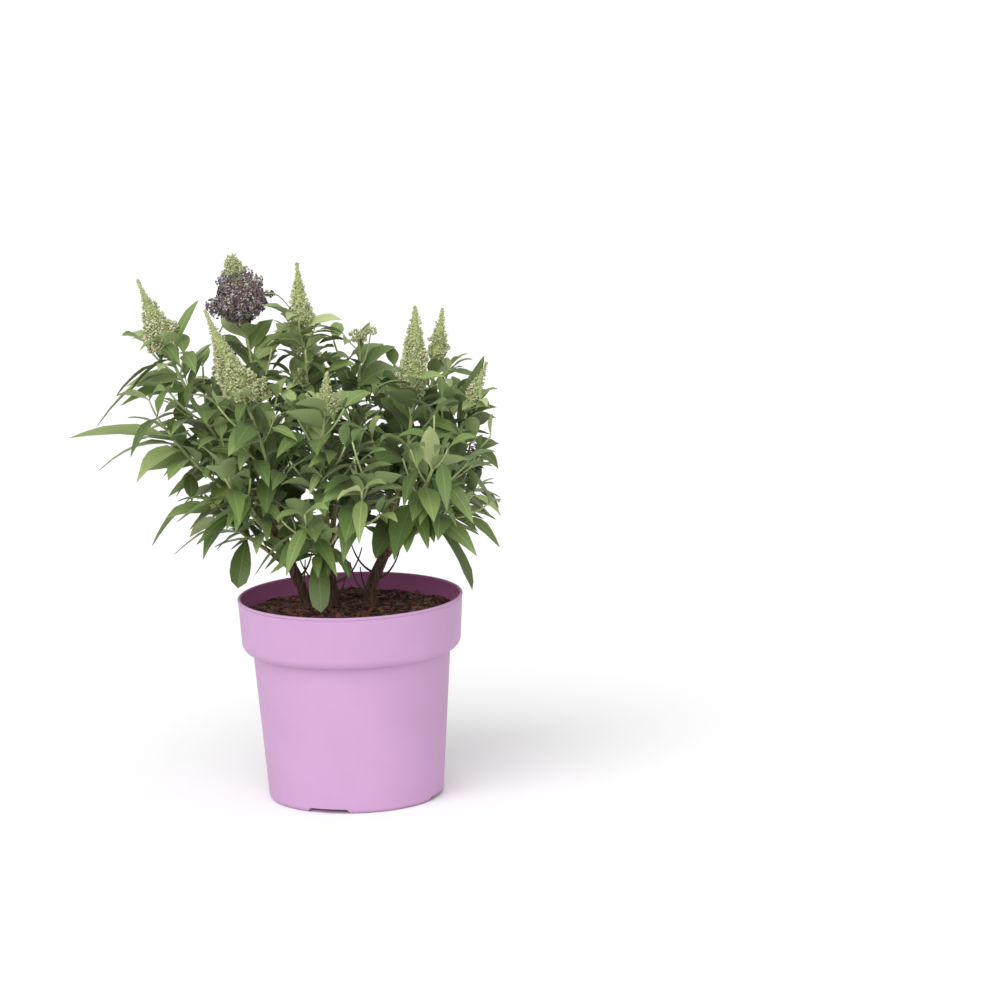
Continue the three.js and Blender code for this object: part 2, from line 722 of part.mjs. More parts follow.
// A side twig in the axil of a leaf, bending up, with pairs of smaller leaves.
function growTwig(site, plan, share, turn, place) {
  const size = TWIG.length * (1.12 - 0.45 * share) * (0.85 + 0.3 * chance(plan.index, place, 11));
  const direction = leaving(plan.curve, share, turn, TWIG.openAngle);
  const root = plan.curve.getPointAt(share);
  const bend = root.clone().addScaledVector(direction, size / 2);
  const outer = direction.clone().lerp(UP, TWIG.lift).normalize();
  const end = bend.clone().addScaledVector(outer, size / 2);
  const curve = new THREE.QuadraticBezierCurve3(root, bend, end);
  const ribbon = ribbonFaces(curve);
  const clear = [0.35, 0.7, 1].every((along) => site.allows(curve.getPointAt(along)));
  if (!clear || site.blades.some((other) => bladesCross(ribbon, other))) {
    return;
  }
  site.blades.push(ribbon);
  const rule = (along) => mix(TWIG.radius, TWIG.tipRadius, along);
  site.pieces.push(bent(curve, radiiBy(rule, 2), 3));
  const pairs = Math.max(1, Math.floor(size / TWIG.spacing));
  for (let i = 1; i <= pairs; i++) {
    const along = Math.min(LAST_NODE, i / pairs);
    for (const side of [0, 180]) {
      const spin = side + 90 * (i % 2) + 20 * sway(plan.index, place * 7 + i, 12);
      placeLeaf(site, curve, along, {
        turn: spin,
        open: i === pairs ? TWIG.tipAngle : TWIG.leafAngle,
        length: LEAF.length * TWIG.leaf * (1.05 - 0.25 * along),
        width: LEAF.width * 0.9,
        droop: LEAF.droop * TWIG.droop,
        roll: LEAF.roll * sway(plan.index, place * 7 + i + side, 13),
        stalk: TWIG.stalk,
      });
    }
  }
}

// One mass: the leafy part of a shoot, with crossed pairs of leaves, side twigs and its spike.
function massSolid(plan) {
  const high = plan.top ? plan.tip[2] + plan.above : CROWN.high;
  const allows = (point) => inOwnSpace(plan, point, plan.low, high);
  const site = { allows, pieces: [], blades: [] };
  const path = new THREE.CatmullRomCurve3(partOf(plan.curve, SHOOT.bare, 1, 5));
  const rule = (share) => mix(SHOOT.stemRadius, SHOOT.tipRadius, share);
  site.pieces.push(bent(path, radiiBy(rule, 5), SHOOT.stemSides));
  const allowsLong = (point) => inOwnSpace(plan, point, SOIL.middle + CROWN.overSoil, CROWN.high);
  plan.longLeaves.forEach((leaf) => keepLeaf(site, leaf, allowsLong));
  const leafy = plan.length * (1 - SHOOT.bare);
  const pairs = Math.max(3, Math.round(leafy / SHOOT.nodeSpacing));
  for (let i = 0; i <= pairs; i++) {
    const height = (i + 0.35) / (pairs + 0.5);
    const share = Math.min(LAST_NODE, mix(SHOOT.bare, 1, height));
    const spin = plan.index * 47 + 90 * (i % 2) + 14 * sway(plan.index, i, 2);
    for (const side of [0, 180]) {
      const place = i * 2 + (side ? 1 : 0);
      const size = mix(LEAF.length, LEAF.topLength, Math.max(0, height - 0.4) / 0.6);
      const open = LEAF.openAngle + 10 * sway(plan.index, place, 4) - 14 * height * height;
      if (chance(plan.index, place, 8) >= plan.thin) {
        placeLeaf(site, plan.curve, share, {
          turn: spin + side,
          open: i === pairs && !plan.top ? LEAF.tipAngle : open,
          length: size * (1 + 0.14 * sway(plan.index, place, 3)),
          width: LEAF.width * (1 + LEAF.widthSway * sway(plan.index, place, 9)),
          droop: LEAF.droop * (1.25 - 0.7 * height + 0.3 * sway(plan.index, place, 5)),
          roll: LEAF.roll * sway(plan.index, place, 7),
          stalk: LEAF.stalk,
        });
      }
      if (i > 0 && i < pairs && chance(plan.index, place, 6) < TWIG.chance) {
        growTwig(site, plan, share + TWIG.above / plan.length, spin + side + TWIG.beside, place);
      }
    }
  }
  if (plan.top) {
    site.pieces.push(spikeSolid(plan));
  }
  return wasm.Manifold.union(site.pieces);
}

// ---------------------------------------------------------------- assembly

const bush = new THREE.Group();

function addPiece(name, shape, look) {
  const material = new THREE.MeshStandardMaterial({ ...COLOURS[look], metalness: 0 });
  const mesh = new THREE.Mesh(geometryOf(shape), material);
  mesh.name = name;
  bush.add(mesh);
}

addPiece("pot", potSolid(), "pot");
addPiece("soil", soilSolid(), "soil");

const grownLimbs = [];
for (const [name, stem] of Object.entries(STEMS)) {
  addPiece("woody_stem_" + name, stemSolid(stem, 0), "bark");
  grownLimbs.push(stemSolid(stem, GAP));
}

// Each bough starts inside its stem and is cut clear of the stems and of the boughs before it.
for (const plan of plans) {
  const bough = grownLimbs.reduce((shape, limb) => shape.subtract(limb), boughSolid(plan, 0));
  addPiece("bough_" + plan.name, largest(bough), "bough");
  grownLimbs.push(boughSolid(plan, GAP));
}

// Each mass is cut clear of the stems and boughs, in case a leaf's edge grazes one.
for (const plan of plans) {
  const mass = grownLimbs.reduce((shape, limb) => shape.subtract(limb), massSolid(plan));
  addPiece("leaves_" + plan.name, largest(mass), "leaf");
}

export default bush;
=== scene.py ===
"""A butterfly bush in a lilac nursery pot, dressed over its frame: lathe-turned pot, loose bark compost,
woody stems with bark relief, leafy shoots grown by the bush's own rule, flower spikes bud by bud.
Sizes are in millimetres until a mesh is made, and -Y is the front."""

import math

import bpy
import numpy as np
from mathutils import Euler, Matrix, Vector


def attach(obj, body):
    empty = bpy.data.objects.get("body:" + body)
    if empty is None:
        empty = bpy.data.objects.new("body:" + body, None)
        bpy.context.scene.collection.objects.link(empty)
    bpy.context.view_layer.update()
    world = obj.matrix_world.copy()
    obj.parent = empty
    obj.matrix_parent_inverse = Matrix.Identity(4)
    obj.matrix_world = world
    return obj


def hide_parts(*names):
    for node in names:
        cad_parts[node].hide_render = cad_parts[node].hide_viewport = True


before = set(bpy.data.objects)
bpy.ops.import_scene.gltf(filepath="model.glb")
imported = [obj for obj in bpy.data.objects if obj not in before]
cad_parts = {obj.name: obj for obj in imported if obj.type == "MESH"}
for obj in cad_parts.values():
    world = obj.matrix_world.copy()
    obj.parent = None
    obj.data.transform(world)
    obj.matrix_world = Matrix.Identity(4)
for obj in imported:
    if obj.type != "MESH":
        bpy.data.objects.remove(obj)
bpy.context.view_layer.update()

MM = 0.001
UP = np.array([0.0, 0.0, 1.0])
SEED = 4.7
rng = np.random.default_rng(47)

# ------------------------------------------------------------------ driving sizes, as in the frame

POT = dict(height=172, rim=95, band_top=94.6, band_foot=92.4, band=37, corner=9, neck=83.2,
           heel=74, heel_round=4, wall=1.6, floor=5, lip=2.6, bead=1.35)
NOTCH = dict(count=4, turn=-108, width=36, depth=7, height=4)
DRAIN = dict(count=4, radius=4.5, circle=48)
SOIL = dict(middle=159, edge=155.5)

STEMS = {
    "left": dict(foot=(-38, 12), fork=(-56, 2, 216), radius=5.0, fork_radius=3.4),
    "middle": dict(foot=(-14, 16), fork=(-17, 8, 210), radius=4.0, fork_radius=2.8),
    "right": dict(foot=(16, 10), fork=(35, 8, 216), radius=5.9, fork_radius=4.0),
}
FLARE = dict(height=9, factor=1.5)
SHOOT = dict(leaves=(0.62, 0.98), low=40, low_share=0.8, spread=0.30, rise=0.40, straight=0.36, bare=0.27,
             bough_radius=2.5, stem_radius=2.1, tip_radius=1.5, spacing=23)
LEAF = dict(heel=0.14, length=66, top_length=52, width=0.35, widest=0.42, stalk=0.5, open=64, tip_open=26,
            droop=0.52, roll=34)
TWIG = dict(chance=0.5, length=62, radius=1.3, tip_radius=1.1, open=40, beside=28, above=3, lift=0.45,
            spacing=19, leaf=0.66, leaf_open=60, tip_open=38, stalk=0.35, age=(0.35, 0.5), slim=0.9,
            less_droop=0.85)
CROWN = dict(left=-232, right=130, front=-132, back=130, low=198, high=434, rise=0.72)
LAST_NODE = 0.985  # the highest leaf's share of its shoot or twig
MARGIN = 1.6  # how much nearer a leaf is to its own shoot than to another
FINE_MARGIN = -24.0  # the same for the finer growth, which may reach this far past the middle
LIMB_CLEAR = 2.2
ABOVE_TIP = 22  # leaves rise at most this far above the foot of their shoot's spike
BELOW_TIP = 40  # and however far out they are, they may hang this far below it
NEAR = 60  # blades whose middles are further apart than this can't touch

# What only the finer growth has. pairs gives each pair's share along a tuft and its opening angle, and
# age is a leaf's age at the foot of a twig or tuft and how much it gains to the tip.
TUFT = dict(chance=0.7, length=24, longer=14, above=2, beside=20, open=46, radius=0.8, tip_radius=0.5,
            pairs=((0.45, 58), (0.75, 50), (LAST_NODE, 26)), stalk=0.2, age=(0.55, 0.3), slim=0.8,
            less_droop=0.7)
SPRIG = dict(share=0.93, length=22, longer=16, open=34, radius=0.9, tip_radius=0.7, width=9)
FINER = dict(step=0.5, leaf=0.92, twig_chance=0.6)

# Each shoot: its name, its woody stem, the tip of its leafy stem, and what else sets it apart: the top,
# width and form of its flower spike, how low its leaves may hang and what share of them is missing.
SHOOTS = [
    ("left_spike", "left", (-143, -20, 386), dict(top=(-166, -24, 448), width=28, full=0.78, taper=1.3)),
    ("purple_bloom", "left", (-82, 30, 401), dict(top=(-91, 32, 460), width=52, full=0, above=4)),
    ("front_spike", "left", (-80, -60, 352), dict(top=(-109, -68, 428), width=31, full=0.8, taper=1.3)),
    ("middle_spike", "middle", (-33, 10, 400), dict(top=(-35, 10, 453), width=20, full=0.85, taper=1.15)),
    ("right_spike", "right", (59, -20, 347), dict(top=(63, -20, 420), width=24, full=0.72, taper=0.8)),
    ("right_back_spike", "right", (78, 34, 364), dict(top=(85, 40, 407), width=18, above=6)),
    ("front_small_spike", "middle", (-14, -70, 338), dict(top=(-10, -76, 375), width=15)),
    ("edge_spike", "right", (104, -4, 326), dict(top=(121, -4, 368), width=14)),
    ("middle_top", "middle", (14, 24, 376), dict(top=(14, 22, 391), width=22, full=0.6, taper=0.5)),
    ("dried_bloom", "right", (99, 40, 264), dict(top=(108, 44, 304), width=24, thin=0.3)),
    ("far_left", "left", (-146, -29, 322), dict(low=299)),
    ("low_left_front", "left", (-98, -58, 286), {}),
    ("low_left", "left", (-108, -14, 250), {}),
    ("low_right", "right", (86, -26, 250), dict(low=214, thin=0.3)),
    ("right_front", "right", (74, -64, 290), dict(low=214)),
    ("front_middle", "middle", (20, -84, 280), dict(low=204)),
    ("front_low", "middle", (-30, -68, 244), dict(thin=0.3)),
    ("back_left_spike", "left", (-100, 80, 328), dict(top=(-112, 92, 378), width=21)),
    ("back_middle_spike", "middle", (-26, 88, 332), dict(top=(-29, 102, 386), width=22)),
    ("back_right_spike", "right", (46, 84, 318), dict(top=(52, 97, 366), width=20)),
    ("back_right", "right", (84, 80, 262), dict(thin=0.3)),
    ("far_back_left", "left", (-112, 48, 288), {}),
    ("back_low", "middle", (4, 90, 250), {}),
    ("back_low_left", "left", (-66, 90, 254), {}),
]

# Single leaves that reach out furthest: shoot, share along it, the leaf's tip, width, droop and roll.
AIMED_LEAVES = [
    ("far_left", 0.95, (-228, -38, 319), 15, 0.2, 48),
    ("far_left", 0.88, (-206, -24, 287), 14, 0.6, -10),
    ("left_spike", 0.9, (-206, -28, 324), 13, 0.75, 8),
    ("left_spike", 0.97, (-178, -34, 352), 12, 0.6, 20),
    ("left_spike", 0.985, (-117, -8, 427), 8, 0.3, 40),
    ("middle_spike", 0.985, (-61, 4, 429), 8, 0.5, 0),
    ("middle_spike", 0.985, (-4, 4, 397), 9, 0.4, 10),
    ("middle_spike", 0.97, (-57, 6, 396), 10, 0.4, -10),
    ("edge_spike", 0.85, (119, 8, 371), 16, 0.1, 20),
    ("low_left", 0.84, (-146, -22, 214), 14, 0.35, 10),
    ("low_left", 0.6, (-92, -38, 188), 17, 0.7, 0),
    ("low_right", 0.72, (103, -34, 180), 19, 0.6, -12),
    ("front_low", 0.6, (-22, -74, 173), 18, 0.7, 4),
    ("right_front", 0.6, (40, -78, 216), 24, 0.6, 0),
]

# The old low leaves among them that are widest near a blunt tip.
BLUNT_LEAVES = {("low_left", 0.6), ("front_low", 0.6)}

# And the young ones that are still folded along the rib, so they look half as wide.
FOLDED_LEAVES = {("middle_spike", 0.985), ("middle_spike", 0.97)}

# Side spikes beside the main ones: shoot, share along it, the spike's tip and its width.
SIDE_SPIKES = [
    ("front_spike", 0.97, (-62, -68, 371), 22),
    ("middle_spike", 0.84, (-24, 0, 378), 15),
    ("middle_spike", 0.88, (-42, 2, 388), 12),
    ("middle_spike", 0.74, (-36, -6, 366), 12),
    ("purple_bloom", 0.8, (-57, 40, 376), 8),
    ("middle_top", 0.9, (25, 22, 396), 14),
]

FLAT_HEAD = "middle_top"  # the one young flower head that is still short and flat


# ------------------------------------------------------------------ plain helpers

def mix(a, b, share):
    return a + (b - a) * share


def unit(vectors):
    """Vectors divided by their own lengths."""
    return vectors / np.linalg.norm(vectors, axis=-1, keepdims=True)


def chance(shoot, place, kind):
    """A repeatable fraction for one property of one place: the fraction part of a large sine."""
    wave = math.sin(shoot * 12.9898 + place * 78.233 + kind * 37.719 + SEED) * 43758.5453
    return wave - math.floor(wave)


def sway(shoot, place, kind):
    return 2 * chance(shoot, place, kind) - 1


def full_turn(count):
    """The angles of places spread evenly round a circle."""
    return np.linspace(0, 2 * math.pi, count, endpoint=False)


def level_across(way, least=1e-4):
    """A level direction at right angles to a way, and +X for a way that goes straight up, so that the
    square of what is level in it stays under least."""
    level = np.cross(way, UP)
    return unit(level) if np.dot(level, level) > least else np.array([1.0, 0, 0])


def rotated(vector, axis, degrees):
    """A vector turned about a unit axis: Rodrigues' formula."""
    turn = math.radians(degrees)
    cross = np.cross(axis, vector)
    along = axis * np.dot(axis, vector)
    return vector * math.cos(turn) + cross * math.sin(turn) + along * (1 - math.cos(turn))


def rough(points, scale, seed=0.0):
    """Smooth noise from -1 to 1 with features about as large as scale. Each corner of the unit cell round
    a point has a value, the fraction part of a large sine, and the eight are mixed by 3t^2 - 2t^3."""
    place = np.asarray(points) / scale + seed
    cell = np.floor(place)
    share = place - cell
    share = share * share * (3 - 2 * share)
    total = np.zeros(len(place))
    for corner in np.ndindex(2, 2, 2):
        wave = np.sin((cell + corner) @ (12.9898, 78.233, 37.719)) * 43758.5453
        weight = np.prod(np.where(corner, share, 1 - share), axis=1)
        total += (2 * (wave - np.floor(wave)) - 1) * weight
    return total


class Path:
    """A Bezier curve whose points are asked for by share of its length, kept as 200 straight steps."""

    def __init__(self, *controls):
        self.controls = np.array(controls, float)
        self.steps = np.linspace(0, 1, 201)
        places = self.curve(self.steps)
        lengths = np.linalg.norm(np.diff(places, axis=0), axis=1)
        self.lengths = np.concatenate([[0], np.cumsum(lengths)])
        self.length = self.lengths[-1]

    def curve(self, t):
        """Sum of the control points, each weighted by its Bernstein polynomial in t."""
        order = len(self.controls) - 1
        t = np.atleast_1d(np.asarray(t, float))[:, None]
        weights = [math.comb(order, k) * t**k * (1 - t) ** (order - k) for k in range(order + 1)]
        return sum(weight * control for weight, control in zip(weights, self.controls))

    def at(self, share):
        t = np.interp(np.asarray(share) * self.length, self.lengths, self.steps)
        places = self.curve(t)
        return places if np.ndim(share) else places[0]

    def heading(self, share):
        t = np.interp(share * self.length, self.lengths, self.steps)
        ends = self.curve([max(0, t - 1e-4), min(1, t + 1e-4)])
        return unit(ends[1] - ends[0])


# ------------------------------------------------------------------ meshes from arrays

def add_object(name, data):
    made = bpy.data.objects.new(name, data)
    bpy.context.scene.collection.objects.link(made)
    return made


def mesh_piece(name, points, faces, materials, slots=None, uv=None, sharp=None):
    """One object from points in millimetres and faces that all have the same number of corners. slots
    gives each face its material, uv each point its place on the pattern, and edges between faces that
    turn by more than sharp degrees stay crisp."""
    faces = np.asarray(faces, np.int32)
    corners = faces.shape[1]
    mesh = bpy.data.meshes.new(name)
    mesh.vertices.add(len(points))
    mesh.vertices.foreach_set("co", np.asarray(points, np.float32).ravel() * MM)
    mesh.loops.add(faces.size)
    mesh.loops.foreach_set("vertex_index", faces.ravel())
    mesh.polygons.add(len(faces))
    mesh.polygons.foreach_set("loop_start", np.arange(0, faces.size, corners, dtype=np.int32))
    for material in materials:
        mesh.materials.append(material)
    if slots is not None:
        mesh.polygons.foreach_set("material_index", np.asarray(slots, np.int32))
    if uv is not None:
        layer = mesh.uv_layers.new(name="surface")
        layer.data.foreach_set("uv", np.asarray(uv, np.float32)[faces.ravel()].ravel())
    mesh.update(calc_edges=True)
    mesh.validate()
    mesh.shade_smooth()
    if sharp is not None:
        mesh.set_sharp_from_angle(angle=math.radians(sharp))
    return add_object(name, mesh)


def grid_faces(rows, columns):
    """Quads between neighbouring rows of a grid whose columns close on themselves."""
    r, c = np.meshgrid(np.arange(rows - 1), np.arange(columns), indexing="ij")
    nxt = (c + 1) % columns
    quads = [r * columns + c, r * columns + nxt, (r + 1) * columns + nxt, (r + 1) * columns + c]
    return np.stack(quads, -1).reshape(-1, 4)


def repeated(template, count):
    """The faces of a template, copied count times with their point numbers moved on each time."""
    moves = np.arange(count)[:, None, None] * (template.max() + 1)
    return (template[None] + moves).reshape(-1, template.shape[1])


def triangles(quads):
    return np.concatenate([quads[:, [0, 1, 2]], quads[:, [0, 2, 3]]])


def fan(centre, first, count):
    """Triangles from one point to a ring of points, both given by their numbers."""
    k = np.arange(count)
    return np.stack([np.full(count, centre), first + k, first + (k + 1) % count], -1)


def capped(rings, start, end):
    """A closed form from rings of points, closed by a fan to one point at each end. Returns its points,
    the rings first, and its triangles, the walls first, then the start's fan and the end's."""
    count, sides = rings.shape[:2]
    points = np.concatenate([rings.reshape(-1, 3), [start], [end]])
    low = fan(count * sides, 0, sides)[:, ::-1]
    high = fan(count * sides + 1, (count - 1) * sides, sides)
    return points, np.concatenate([triangles(grid_faces(count, sides)), low, high])


def tube(places, radii, sides, ripple=0.0):
    """A round limb: rings of points about the places, carried along without twist. ripple gives each
    ring point a change of radius."""
    places = np.asarray(places, float)
    heading = unit(np.gradient(places, axis=0))
    across = [level_across(heading[0], 1e-6)]
    for way in heading[1:]:
        across.append(unit(across[-1] - way * np.dot(across[-1], way)))
    across = np.array(across)
    turn = full_turn(sides)[None, :, None]
    spokes = np.cos(turn) * across[:, None] + np.sin(turn) * np.cross(heading, across)[:, None]
    reach = np.asarray(radii, float)[:, None] * (1 + ripple) * np.ones(sides)
    return capped(places[:, None] + spokes * reach[..., None], places[0], places[-1])


def rings_of(sides, radius, height):
    """Rings of points round the axis, from a radius and a height for all, each point or each ring."""
    turn = full_turn(sides)
    return np.stack(np.broadcast_arrays(np.cos(turn) * radius, np.sin(turn) * radius, height), -1)


def three_slots(rings, sides, first, each):
    """The slots of a tube's faces: 0 at its foot, 1 after the first strips and each more, then 2."""
    slot = np.clip((np.arange((rings - 1) * sides) // sides - first) // each, 0, 2)
    return np.concatenate([slot, slot, np.zeros(sides, int), np.full(sides, 2)])


def limb_relief(share, length, sides, girth, grain, seed, scale=1.0):
    """Noise over a limb's surface. girth is the number of its cells round the limb over two pi, and
    grain the height of one cell."""
    turn, row = np.meshgrid(full_turn(sides), share)
    ring = np.stack([np.cos(turn) * girth, np.sin(turn) * girth, row * length / grain], -1)
    return rough(ring.reshape(-1, 3), scale, seed).reshape(turn.shape)


class Heap:
    """Shapes joined into one mesh: their points one after another, and a slot for each face."""

    def __init__(self):
        self.points = []
        self.faces = []
        self.slots = []
        self.count = 0

    def add(self, points, faces, slot=0):
        self.points.append(points)
        self.faces.append(faces + self.count)
        self.slots.append(np.broadcast_to(slot, len(faces)))
        self.count += len(points)

    def piece(self, name, *materials):
        return mesh_piece(name, np.concatenate(self.points), np.concatenate(self.faces), materials,
                          np.concatenate(self.slots))


# ------------------------------------------------------------------ materials

def tone(code):
    """An sRGB hex colour as linear values: the low end is a straight line, the rest a power of 2.4."""
    parts = np.array([int(code[i:i + 2], 16) / 255 for i in (0, 2, 4)])
    linear = np.where(parts <= 0.04045, parts / 12.92, ((parts + 0.055) / 1.055) ** 2.4)
    return (*linear, 1.0)


def node(tree, kind, settings=None, inputs=None, links=None):
    """Adds a node with its settings, its plain inputs, and its links from other nodes' outputs."""
    made = tree.nodes.new(kind)
    for key, value in (settings or {}).items():
        setattr(made, key, value)
    for key, value in (inputs or {}).items():
        made.inputs[key].default_value = value
    for key, output in (links or {}).items():
        tree.links.new(output, made.inputs[key])
    return made


def plain_material(name, colour, roughness, **inputs):
    """A material with one principled shader. Returns it, its tree and its shader."""
    material = bpy.data.materials.new(name)
    material.use_nodes = True
    tree = material.node_tree
    shader = tree.nodes["Principled BSDF"]
    shader.inputs["Base Color"].default_value = tone(colour)
    shader.inputs["Roughness"].default_value = roughness
    for key, value in inputs.items():
        shader.inputs[key.replace("_", " ")].default_value = value
    return material, tree, shader


def ramp(tree, factor, stops):
    """A colour ramp over hex colours at their places."""
    made = node(tree, "ShaderNodeValToRGB", links={"Fac": factor})
    elements = made.color_ramp.elements
    while len(elements) < len(stops):
        elements.new(0.5)
    for element, (place, code) in zip(elements, stops):
        element.position = place
        element.color = tone(code)
    return made.outputs["Color"]


def noise(tree, scale, detail, roughness=0.5, drawn=None):
    """Noise over the object's own space, drawn out along an axis by a small factor in drawn."""
    place = node(tree, "ShaderNodeTexCoord").outputs["Object"]
    if drawn:
        place = node(tree, "ShaderNodeMapping", inputs={"Scale": drawn}, links={"Vector": place}).outputs[0]
    made = node(tree, "ShaderNodeTexNoise", links={"Vector": place},
                inputs={"Scale": scale, "Detail": detail, "Roughness": roughness})
    return made.outputs["Fac"]


def add_bump(tree, shader, height, strength, distance):
    bump = node(tree, "ShaderNodeBump", inputs={"Strength": strength, "Distance": distance},
                links={"Height": height})
    tree.links.new(bump.outputs["Normal"], shader.inputs["Normal"])


def grained(name, colour, roughness, grain, strength, distance, stops=(), cloud=None, **inputs):
    """A material with the relief of a fine noise. Where it has colour stops, they follow the same noise,
    or a broader one. grain and cloud are what noise takes."""
    material, tree, shader = plain_material(name, colour, roughness, **inputs)
    height = noise(tree, *grain)
    add_bump(tree, shader, height, strength, distance)
    if stops:
        factor = noise(tree, *cloud) if cloud else height
        tree.links.new(ramp(tree, factor, stops), shader.inputs["Base Color"])
    return material


def moulded_polypropylene(name, low, high):
    """Polypropylene, injection moulded in a finely textured tool: a soft sheen with no sharp
    reflections, very slightly uneven in tone between the low and the high one."""
    return grained("moulded_polypropylene_" + name, low, 0.5, (900, 2), 0.12, 0.0003,
                   [(0.3, low), (0.7, high)], (18, 3), IOR=1.49, Specular_IOR_Level=0.22)


def moist_compost():
    """Moist peat and composted bark: near black with red-brown fibres a few millimetres long."""
    return grained("moist_peat_compost", "2C1B15", 0.95, (260, 6, 0.7), 0.9, 0.0015,
                   [(0.3, "1C1410"), (0.48, "39231A"), (0.62, "5A3525"), (0.8, "7C4F39")])


def woody_bark():
    """Young butterfly bush bark: red-brown, shedding in thin grey-tan strips that run up the stem."""
    return grained("stringy_bark", "50392E", 0.9, (620, 5, 0.65, (1, 1, 0.12)), 0.8, 0.0008,
                   [(0.32, "281B17"), (0.48, "4C352B"), (0.62, "6C5142"), (0.78, "98806E")])


def plain_growth(name, colour, roughness=0.7, relief=0.0004):
    """Plant matter in one colour, with a fine bump: short hairs and cells where it lives, fibres where
    it is dead."""
    return grained(name, colour, roughness, (1500, 2), 0.4, relief, Sheen_Weight=0.12)


def leaf_upper(name, colour):
    """The upper face of a leaf: dull satin, puckered between side veins that run forward from the
    midrib, about twelve pairs to a leaf. The veins show as relief, and the colour is one plain green."""
    material, tree, shader = plain_material(name, colour, 0.5, Sheen_Weight=0.08, Specular_IOR_Level=0.4)
    place = node(tree, "ShaderNodeUVMap", {"uv_map": "surface"})
    split = node(tree, "ShaderNodeSeparateXYZ", links={"Vector": place.outputs["UV"]})
    flow = split.outputs["X"]
    for operation, value, links in (("SUBTRACT", 0.5, {}), ("ABSOLUTE", 0.0, {}),
                                    ("MULTIPLY_ADD", -0.22, {2: split.outputs["Y"]}),
                                    ("MULTIPLY", 75.0, {}), ("SINE", 0.0, {})):
        maths = node(tree, "ShaderNodeMath", {"operation": operation}, {1: value}, {0: flow, **links})
        flow = maths.outputs[0]
    add_bump(tree, shader, flow, 0.1, 0.0006)
    return material


# ------------------------------------------------------------------ the bush's rule, as in the frame

def stem_path(stem):
    foot = np.array([*stem["foot"], SOIL["middle"] + 0.3])
    fork = np.array(stem["fork"], float)
    low = foot + UP * (fork[2] - foot[2]) * 0.35
    return Path(foot, low, mix(foot, fork, 0.7), fork)


def shoot_path(index, stem_name, tip, top):
    """Out from the woody stem first, then up into the line of the spike."""
    stem = STEMS[stem_name]
    tip = np.array(tip, float)
    is_low = tip[2] < stem["fork"][2] + SHOOT["low"]
    along = mix(*SHOOT["leaves"], chance(index, 0, 1)) * (SHOOT["low_share"] if is_low else 1)
    start = stem_path(stem).at(along)
    way = tip - start
    reach = np.linalg.norm(way)
    aim = unit(np.array(top, float) - tip) if top else mix(way / reach, UP, 0.25)
    out = start + way * np.array([SHOOT["spread"], SHOOT["spread"], SHOOT["rise"]])
    return Path(start, out, tip - aim * SHOOT["straight"] * reach, tip)


class Leaf:
    """A leaf's midrib falls from its first direction by droop times the square of the share along it."""

    def __init__(self, axis, direction, length, width, droop, roll, stalk):
        self.root = axis + direction * stalk
        self.direction = direction
        self.length = length
        self.width = width
        self.droop = droop
        self.across = rotated(unit(np.cross(direction, UP)), direction, roll)
        self.blunt = False
        self.folded = False

    def at(self, share):
        share = np.atleast_1d(np.asarray(share, float))[:, None]
        return self.root + self.direction * self.length * share - UP * self.length * self.droop * share**2

    def probes(self):
        rib = self.at([0.3, 0.55, 0.8, 1])
        edge = self.at([LEAF["widest"], 0.68])
        side = self.across * np.array([[0.48], [0.36]]) * self.width
        return np.concatenate([rib, edge + side, edge - side])

    def blade(self):
        """The two halves of the blade as flat triangles."""
        heel, widest, tip = self.at([LEAF["heel"], LEAF["widest"], 1])
        side = self.across * self.width / 2
        return np.array([[heel, widest + side, tip], [heel, tip, widest - side]])


class Shoot:
    """One shoot: its path, and the line of points that its own space lies round."""

    def __init__(self, index, name, on, tip, top=None, width=0, full=0.75, taper=1.0, low=CROWN["low"],
                 above=ABOVE_TIP, thin=0.0):
        # full and taper shape the spike: see spike_outline.
        self.index = index
        self.name = name
        self.tip = np.array(tip, float)
        self.top = np.array(top, float) if top else None
        self.width = width
        self.full = full
        self.taper = taper
        self.low = low
        self.above = above
        self.thin = thin
        self.path = shoot_path(index, on, tip, top)
        self.line = self.path.at(np.linspace(SHOOT["bare"], 1, 13))
        if top:
            self.line = np.concatenate([self.line, self.top[None]])
        self.aimed = [self.aimed_leaf(*row) for owner, *row in AIMED_LEAVES if owner == name]
        for leaf in self.aimed:
            leaf.blunt = (name, leaf.share) in BLUNT_LEAVES
            leaf.folded = (name, leaf.share) in FOLDED_LEAVES

    def aimed_leaf(self, share, tip, width, droop, roll):
        """A leaf whose tip is given. Its length solves |tip - root + UP * length * droop| = length."""
        root = self.path.at(share)
        way = np.array(tip, float) - root
        fall = way[2] * droop
        length = (fall + math.sqrt(fall**2 + (1 - droop**2) * way @ way)) / (1 - droop**2)
        leaf = Leaf(root, (way + UP * length * droop) / length, length, width, droop, roll, LEAF["stalk"])
        leaf.share = share
        return leaf


shoots = [Shoot(index, *place, **more) for index, (*place, more) in enumerate(SHOOTS)]


def segments(line, owner, radius):
    """A line's steps in four columns: start, end, the shoot that owns it, and the line's radius."""
    count = len(line) - 1
    return line[:-1], line[1:], np.full(count, owner), np.full(count, float(radius))


def stacked(lines):
    """The columns of many lines, each joined end to end."""
    return [np.concatenate(column) for column in zip(*lines)]


